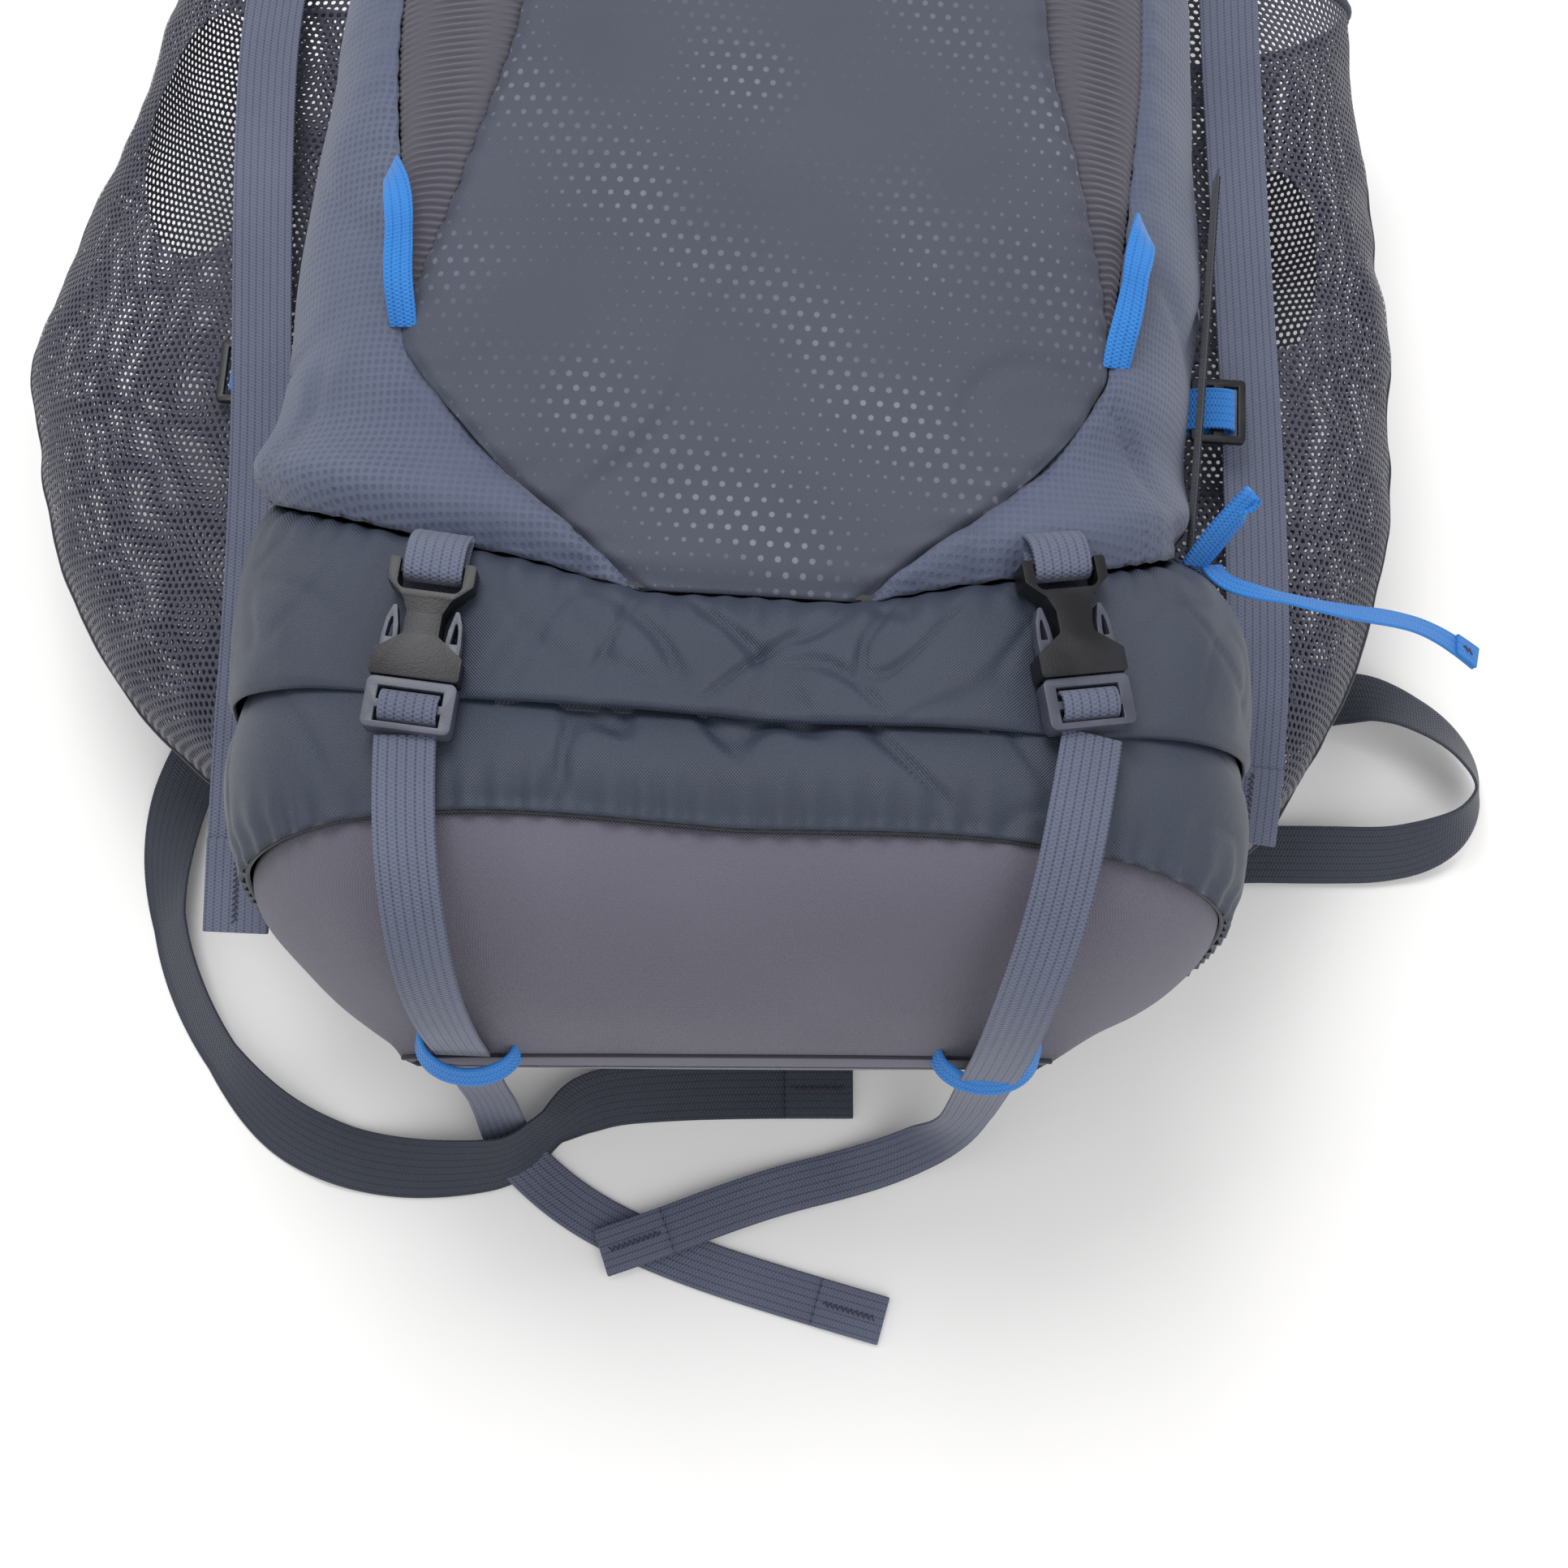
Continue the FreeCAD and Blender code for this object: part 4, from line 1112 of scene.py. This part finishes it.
# side views of two webs, in buckle coordinates: round the female half's bar, and through the ladder lock
BAR_LOOP = [(0.055, -0.0090), (0.049, -0.0055), (0.040, -0.0040), (0.0356, -0.0035), (0.0342, 0.0),
            (0.0356, 0.0037), (0.040, 0.0046), (0.045, 0.0042), (0.0495, 0.0012), (0.0530, -0.0050)]
LADDER_WRAP = [(-0.0145, -0.0040), (-0.0143, 0.0014), (-0.0128, 0.0046), (-0.0094, 0.0056), (-0.0062, 0.0050),
               (-0.0044, 0.0020), (-0.0045, -0.0036)]


def short_web(name, place, profile, width, slot, body):
    """A short strap that wraps a bar, given by its side view in buckle coordinates."""
    points = [place @ Vector((0.0, y, z)) for y, z in profile]
    across = (place.to_3x3() @ Vector((1.0, 0.0, 0.0))).normalized()
    spots, length = evenly(route_points(points), 0.0008)
    stations = []
    for index, spot in enumerate(spots):
        ahead = (spots[min(index + 1, len(spots) - 1)] - spots[max(index - 1, 0)]).normalized()
        stations.append((spot, across, across.cross(ahead).normalized()))
    obj = strap(name, stations, length, width, slot)
    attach(obj, body)
    return obj


for side, place in PAD_BUCKLES.items():
    loop = short_web("pad_bar_loop_" + side, place, BAR_LOOP, PAD_STRAP * 0.97, "webbing", "bag")
    if side == "left":
        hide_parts("pad_buckle_webbing")
    half = "pad_buckle_half_" + side
    short_web("pad_ladder_wrap_" + side, place, LADDER_WRAP, PAD_STRAP * 0.95, "webbing", half)


# ---- blue loops ----
def blue_loop(name, points, facings, width, body="bag"):
    stations, length = strap_stations([at(*point) for point in points], facings, 0.0012)
    obj = strap(name, stations, length, width, "accent", thick=0.0014)
    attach(obj, body)
    return obj


def base_loops():
    """Two edge-on blue loops under the base seam; the sleeping-pad straps pass through them."""
    for side, word, low in ((-1, "left", -0.0020), (1, "right", 0.0050)):
        middle, reach = side * 0.091, 0.0180
        points = [(middle - reach - 0.0015, low + 0.0165, 0.1660)]
        for degrees in range(180, 361, 20):
            angle = math.radians(degrees)
            height = low + 0.0120 + 0.0125 * math.sin(angle)
            points.append((middle + reach * math.cos(angle), height, 0.1665))
        points.append((middle + reach + 0.0015, low + 0.0165, 0.1660))
        last = len(points) - 1
        facings = {0: (-1, 0, 0.2), last // 2: (0, -0.85, 0.5), last: (1, 0, 0.2)}
        blue_loop("base_loop_" + word, points, facings, 0.009)
    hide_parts("base_loops")


def gusset_loops():
    """Blue loops that stand off the front where each gusset begins."""
    left = [(-0.1335, 0.300, 0.2555), (-0.1325, 0.297, 0.2600), (-0.1290, 0.288, 0.2645),
            (-0.1265, 0.272, 0.2665), (-0.1260, 0.256, 0.2645), (-0.1245, 0.246, 0.2590),
            (-0.1238, 0.241, 0.2540)]
    right = [(0.1280, 0.294, 0.2560), (0.1275, 0.290, 0.2600), (0.1265, 0.281, 0.2640),
             (0.1245, 0.268, 0.2655), (0.1225, 0.255, 0.2640), (0.1205, 0.246, 0.2590),
             (0.1198, 0.240, 0.2545)]
    width = 0.0098
    left_facings = {0: (-0.9, 0.2, 0.5), 3: (0.5, 0, 0.9), 6: (-0.2, -0.3, 0.9)}
    right_facings = {0: (0.9, 0.2, 0.5), 3: (-0.6, 0, 0.8), 6: (0.2, -0.3, 0.9)}
    first = blue_loop("gusset_loop_left", left, left_facings, width)
    blue_loop("gusset_loop_right", right, right_facings, width)
    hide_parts("blue_tabs")


def slider_tabs():
    """Blue webbing looped through the two side sliders."""
    middles = (("left", -1, -0.2040, 0.271, 0.1430), ("right", 1, 0.1720, 0.267, 0.1660))
    for word, side, x, height, z in middles:
        points = [(x - side * 0.0240, height, z - 0.0015), (x - side * 0.0150, height, z - 0.0010),
                  (x - side * 0.0065, height, z + 0.0028), (x - side * 0.0005, height, z + 0.0034),
                  (x + side * 0.0058, height, z + 0.0026), (x + side * 0.0062, height, z - 0.0030),
                  (x - side * 0.0020, height, z - 0.0040), (x - side * 0.0160, height, z - 0.0035)]
        blue_loop("slider_tab_" + word, points, {0: FRONT, 4: FRONT, 5: (side, 0, 0), 6: (0, 0, -1)}, 0.0165)


def short_pull():
    """The short zip pull: a folded tape whose two legs stand a little apart."""
    legs = [(0.1525, 0.184, 0.219), (0.1560, 0.189, 0.226), (0.1615, 0.195, 0.233),
            (0.1680, 0.202, 0.2375), (0.1715, 0.205, 0.2375), (0.1700, 0.2015, 0.2330),
            (0.1625, 0.193, 0.2275), (0.1540, 0.1845, 0.2150)]
    facings = {0: (0.5, -0.5, 0.7), 3: (0.4, -0.6, 0.7), 4: (0.6, 0.6, 0.2), 7: (0.3, -0.4, 0.9)}
    pull = blue_loop("zip_pull_short_tape", legs, facings, PULL * 0.85, "side_slider")
    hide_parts("zip_pull_short")


def side_anchors():
    """The sewn ends that hold the two side straps to the bag, above the pockets."""
    for word, side, start, end in (("left", -1, (-0.158, 0.545, 0.151), (-0.196, 0.518, 0.1502)),
                                   ("right", 1, (0.149, 0.562, 0.151), (0.1762, 0.536, 0.1502))):
        bend = [lerp(a, b, 0.5) for a, b in zip(start, end)]
        points = [at(*start), at(bend[0] + side * 0.004, bend[1] + 0.004, bend[2]), at(*end)]
        stations, length = strap_stations(points, {0: FRONT, 2: FRONT})
        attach(strap("side_anchor_" + word, stations, length, BELT, "webbing"), "bag")


side_anchors()
base_loops()
gusset_loops()
slider_tabs()
short_pull()


# ---- zips ----
def zip_run(name, start, end, facing, width, body, node):
    """A coil zip: its tape and two rows of small teeth that meet along the middle."""
    start, end, facing = at(*start), at(*end), Vector(facing)
    length = (end - start).length
    ahead = (end - start).normalized()
    side = ahead.cross(facing)
    count = max(8, round(length / 0.006))
    stations = [(start.lerp(end, share), side, facing) for share in spread(0, 1, count)]
    tape = strap(name + "_tape", stations, length, width, "belt_webbing", thick=0.0007)
    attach(tape, body)
    if node:
        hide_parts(node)
    pitch = 0.0021
    teeth = []
    for number in range(int(length / pitch)):
        spot = start + ahead * (pitch * number + 0.001) + facing * 0.0009
        for row, half in ((-1, 0.0), (1, pitch / 2)):
            teeth.append((spot + side * 0.0011 * row + ahead * half, side, facing))
    size = (0.0030, 0.0012, 0.0011)
    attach(stitch_mesh(name + "_teeth", teeth, LOOKS["buckle_black"], "belt_webbing", size), body)


zip_run("side_zip", (0.1531, 0.183, 0.211), (0.1621, 0.341, 0.211), (1, 0, 0), 0.012, "bag", "zip_tapes")
zip_run("lower_zip", (-0.080, 0.111, 0.2635), (0.080, 0.111, 0.2635), (0, 0, 1), 0.012, "bag", None)
zip_run("lid_zip", (-0.122, 0.656, 0.2836), (0.122, 0.656, 0.2836), (0, 0, 1), 0.014, "lid", "lid_zip_tape")


# ---- collar and drawcord ----
def collar_cloth():
    """The gathered skirt above the bag's hem, pulled in by its drawcord, with room behind the cord lock."""
    low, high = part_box("cord_lock_button")
    lock = (Vector(low) + Vector(high)) / 2

    def place(u, v):
        girth = u * 2 - 1
        hem = bag_point(girth, BAG_TOP)
        middle = at(0.0, BAG_TOP, 0.142)
        pull = lerp(0.985, 0.80, v ** 0.8)
        spot = middle + (hem - middle) * pull
        gather = 0.0040 * math.sin(u * math.tau * 46 + 2.5 * math.sin(u * math.tau * 7)) * v
        spot += (hem - middle).normalized() * (gather - 0.003 * bell(v - 0.7, 0.08))
        if spot.z > lock.z - 0.03:
            spot.z -= 0.0045 * bell(spot.x - lock.x, 0.028)
        spot.y = SEAM_Y + lerp(BAG_TOP - 0.002, 0.625, v) + 0.002 * rough(spot, 0.02, 61.0) * v
        return spot, (girth * HALF_GIRTH, v * 0.03)
    bm = grid_mesh(560, 12, place, at(0.0, 0.61, 0.142))
    bmesh.ops.remove_doubles(bm, verts=bm.verts[:], dist=0.00002)
    obj = finish_piece("collar_cloth", to_mesh(bm, "collar"), "shell_side")
    thicken(obj, 0.0008)
    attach(obj, "bag")
    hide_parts("collar")


def drawcord_and_spring():
    """The collar's cord, and the coil in its cord lock."""
    cord = moulded("drawcord", "drawcord_braid", "bag", 0.0002)
    cord.data.materials[0] = LOOKS["belt_webbing"]
    low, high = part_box("cord_lock_spring")
    middle = (Vector(low) + Vector(high)) / 2
    radius, turns, wire = 0.0029, 6, 0.00045
    line = []
    for number in range(turns * 16 + 1):
        angle = math.tau * number / 16
        x = lerp(low[0] + wire, high[0] - wire, number / (turns * 16))
        line.append(Vector((x, middle.y + radius * math.cos(angle), middle.z + radius * math.sin(angle))))
    spring = tube("cord_lock_coil", line, wire, LOOKS["spring_steel"], "spring_steel", "bag")
    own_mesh(spring)
    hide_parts("cord_lock_spring")


collar_cloth()
drawcord_and_spring()


# ---- lid ----
def lid_shell():
    """A stuffed lid pocket: crowned on every side, slack along its front edge, with a piped seam."""
    low, high = (Vector(corner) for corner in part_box("lid_shell"))
    middle, half = (low + high) / 2, (high - low) / 2
    powers = (8.0, 2.7, 5.0)
    bm = bmesh.new()
    bmesh.ops.create_cube(bm, size=2.0)
    bmesh.ops.subdivide_edges(bm, edges=bm.edges[:], cuts=47, use_grid_fill=True)
    layer = bm.loops.layers.uv.new("weave")
    for vert in bm.verts:
        scale = 1.0
        for turn in range(12):
            total = sum(abs(part * scale) ** power for part, power in zip(vert.co, powers))
            scale *= total ** (-1 / 6)
        unit = vert.co * scale
        spot = middle + Vector((unit.x * half.x, unit.y * half.y, unit.z * half.z)) * 0.992
        out = Vector((unit.x / half.x, unit.y / half.y, unit.z / half.z)).normalized()
        swell = 0.0032 * rough(spot, 0.07, 71.0) + 0.0014 * rough(spot, 0.025, 72.0)
        crease = 0.0030 * valley(spot, 0.06, 0.07, 73.0) * (1 - max(0.0, unit.z) ** 8)
        vert.co = spot + out * (swell - crease)
        vert.co.y = max(vert.co.y, low.y + 0.0004)
    bm.normal_update()
    for face in bm.faces:
        across = abs(face.normal.x) > 0.7
        for loop in face.loops:
            co = loop.vert.co
            loop[layer].uv = (co.z if across else co.x, co.y if abs(face.normal.z) > 0.5 or across else co.z)
    obj = finish_piece("lid_cloth", to_mesh(bm, "lid_cloth"), "shell_side")
    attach(obj, "lid")
    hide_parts("lid_shell")
    ring = []
    for number in range(160):
        angle = math.tau * number / 160
        x, z = math.cos(angle), math.sin(angle)
        reach = (abs(x) ** 6.0 + abs(z) ** 6.0) ** (-1 / 6)
        ring.append(Vector((middle.x + x * reach * half.x * 0.972, middle.y - 0.012,
                            middle.z + z * reach * half.z * 0.972)))
    tube("lid_piping", ring, 0.0016, LOOKS["belt_webbing"], "belt_webbing", "lid", closed=True)


def lid_straps():
    """The two straps that hang from the lid to its buckles."""
    made = []
    for side, word in ((-1, "left"), (1, "right")):
        x = side * 0.070
        points = [(x, 0.632, 0.2765), (x, 0.622, 0.2755), (x, 0.610, 0.2750), (x, 0.600, 0.2748),
                  (x, 0.591, 0.2745)]
        stations, length = strap_stations([at(*point) for point in points], {0: FRONT, 4: FRONT})
        made.append(strap("lid_strap_" + word, stations, length, PAD_STRAP, "webbing"))
        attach(made[-1], "lid")
    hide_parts("lid_straps")


lid_shell()
lid_straps()


# ---- harness ----
PAD_CAP = 0.0035         # how far pressure may move a pad's surface
PADS = [("shoulder_strap_left", 0.8), ("shoulder_strap_right", 0.8), ("back_pads", 0.7), ("lumbar_pad", 0.8),
        ("hip_wing_left", 0.8), ("hip_wing_right", 0.8)]


def remeshed(node):
    """A copy of a pad's solid in even small faces, a little smaller than the solid."""
    bm = copied(node)
    mesh = to_mesh(bm, node + "_pad")
    obj = finish_piece(node + "_pad", mesh, NODE_SLOTS[node])
    grid = obj.modifiers.new("remesh", "REMESH")
    grid.mode = "VOXEL"
    grid.voxel_size = 0.005
    graph = bpy.context.evaluated_depsgraph_get()
    even = bpy.data.meshes.new_from_object(obj.evaluated_get(graph))
    obj.modifiers.clear()
    obj.data = even
    for vert in even.vertices:
        vert.co = vert.co - vert.normal * 0.0012
    return obj


def swell_pads(pads):
    """Blow the pads up with cloth pressure, and keep every point near where it began."""
    scene = bpy.context.scene
    began = {obj: [vert.co.copy() for vert in obj.data.vertices] for obj in pads}
    for obj in pads:
        cloth = obj.modifiers.new("cloth", "CLOTH")
        cloth.settings.use_pressure = True
        cloth.settings.uniform_pressure_force = 4.0
        cloth.settings.effector_weights.gravity = 0.0
    for number in range(1, 21):
        scene.frame_set(number)
    graph = bpy.context.evaluated_depsgraph_get()
    for obj in pads:
        blown = bpy.data.meshes.new_from_object(obj.evaluated_get(graph))
        for vert, start in zip(blown.vertices, began[obj]):
            shift = vert.co - start
            if shift.length > PAD_CAP:
                vert.co = start + shift.normalized() * PAD_CAP
        obj.modifiers.clear()
        obj.data = blown
    scene.frame_set(1)


def quilt_pads(pads):
    """Rest the pads on the floor, ripple them slightly, press in the back pads' channels, and smooth them."""
    for obj in pads:
        low = min(vert.co.z for vert in obj.data.vertices)
        for vert in obj.data.vertices:
            vert.co += vert.normal * (0.0007 * rough(vert.co, 0.03, 81.0))
            channel = abs((vert.co.y - SEAM_Y) % 0.07 - 0.035)
            if "back_pads" in obj.name:
                vert.co -= vert.normal * 0.0022 * bell(channel, 0.004)
            vert.co.z = max(vert.co.z, 0.0004 if low < 0.01 else low)
        for face in obj.data.polygons:
            face.use_smooth = True
        soft = obj.modifiers.new("smooth", "SUBSURF")
        soft.levels = soft.render_levels = 1


def harness_pads():
    pads = [remeshed(node) for node, fill in PADS]
    swell_pads(pads)
    quilt_pads(pads)
    for obj, (node, fill) in zip(pads, PADS):
        obj.data.materials.clear()
        obj.data.materials.append(LOOKS["back_cloth"])
        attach(obj, "bag")
        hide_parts(node)


def uv_over(obj):
    """Give a strap cut from a CAD solid its weave coordinates: across by x, along by height."""
    layer = obj.data.uv_layers.new(name="weave")
    for loop in obj.data.loops:
        co = obj.data.vertices[loop.vertex_index].co
        layer.data[loop.index].uv = (co.x - MID_X, co.y - SEAM_Y)


def harness_webbing():
    """The webbing under the bag; the stretch held by the hip buckle and the sternum web are kept apart from
    the bag, as pieces of their own.
    """
    belt_side = at(-0.110, 0.130, 0.004)

    def is_belt(middle):
        x, height = middle.x - MID_X, middle.y - SEAM_Y
        return abs(x + 0.140) < 0.05 and height < 0.2 and middle.z < 0.006 and middle.x < 0

    belt = moulded("harness_webbing", "belt_inner_web", "bag", 0.0003, keep=is_belt)
    rest = moulded("harness_webbing", "harness_straps", "bag", 0.0003,
                   keep=lambda middle: not is_belt(middle), replaces=False)
    uv_over(belt)
    uv_over(rest)
    belt.parent = None
    at(-0.030, 0.098, 0.004)
    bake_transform(belt)
    web = moulded("sternum_webbing", "sternum_web", "bag", 0.0003)
    uv_over(web)
    web.parent = None
    at(-0.054, 0.400, 0.006)
    at(-0.024, 0.400, 0.006)
    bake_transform(web)
    loop = moulded("haul_loop", "haul_loop_web", "bag", 0.0010)
    uv_over(loop)


harness_pads()
harness_webbing()


# ---- inner parts that keep their CAD shape ----
for node in ("divider", "frame_sheet", "frame_rod"):
    part = frame["nodes"][node]
    part.data.materials.clear()
    part.data.materials.append(LOOKS["frame_board" if node == "divider" else NODE_SLOTS[node]])


# ---- floor, light and surroundings ----
def floor():
    bm = bmesh.new()
    below = Matrix.Translation((0, 0, -0.0003))
    bmesh.ops.create_grid(bm, x_segments=1, y_segments=1, size=4.0, matrix=below)
    mesh = to_mesh(bm, "floor")
    mesh.materials.append(floor_look())
    obj = bpy.data.objects.new("floor", mesh)
    bpy.context.collection.objects.link(obj)


def area_light(name, spot, target, size, power):
    data = bpy.data.lights.new(name, "AREA")
    data.energy = power
    data.size = size
    light = bpy.data.objects.new(name, data)
    bpy.context.collection.objects.link(light)
    light.location = spot
    light.rotation_euler = (Vector(target) - Vector(spot)).to_track_quat("-Z", "Y").to_euler()


def lights():
    area_light("key", (-0.35, 0.75, 2.1), (0.0, -0.1, 0.1), 1.0, 26.0)
    area_light("fill", (0.9, -1.3, 1.7), (0.0, -0.1, 0.1), 1.6, 8.0)
    world = bpy.data.worlds.new("studio")
    world.use_nodes = True
    world.node_tree.nodes["Background"].inputs["Color"].default_value = (1.0, 1.0, 1.0, 1.0)
    world.node_tree.nodes["Background"].inputs["Strength"].default_value = 0.74
    bpy.context.scene.world = world
    bpy.context.scene.view_settings.view_transform = "Standard"


floor()
lights()
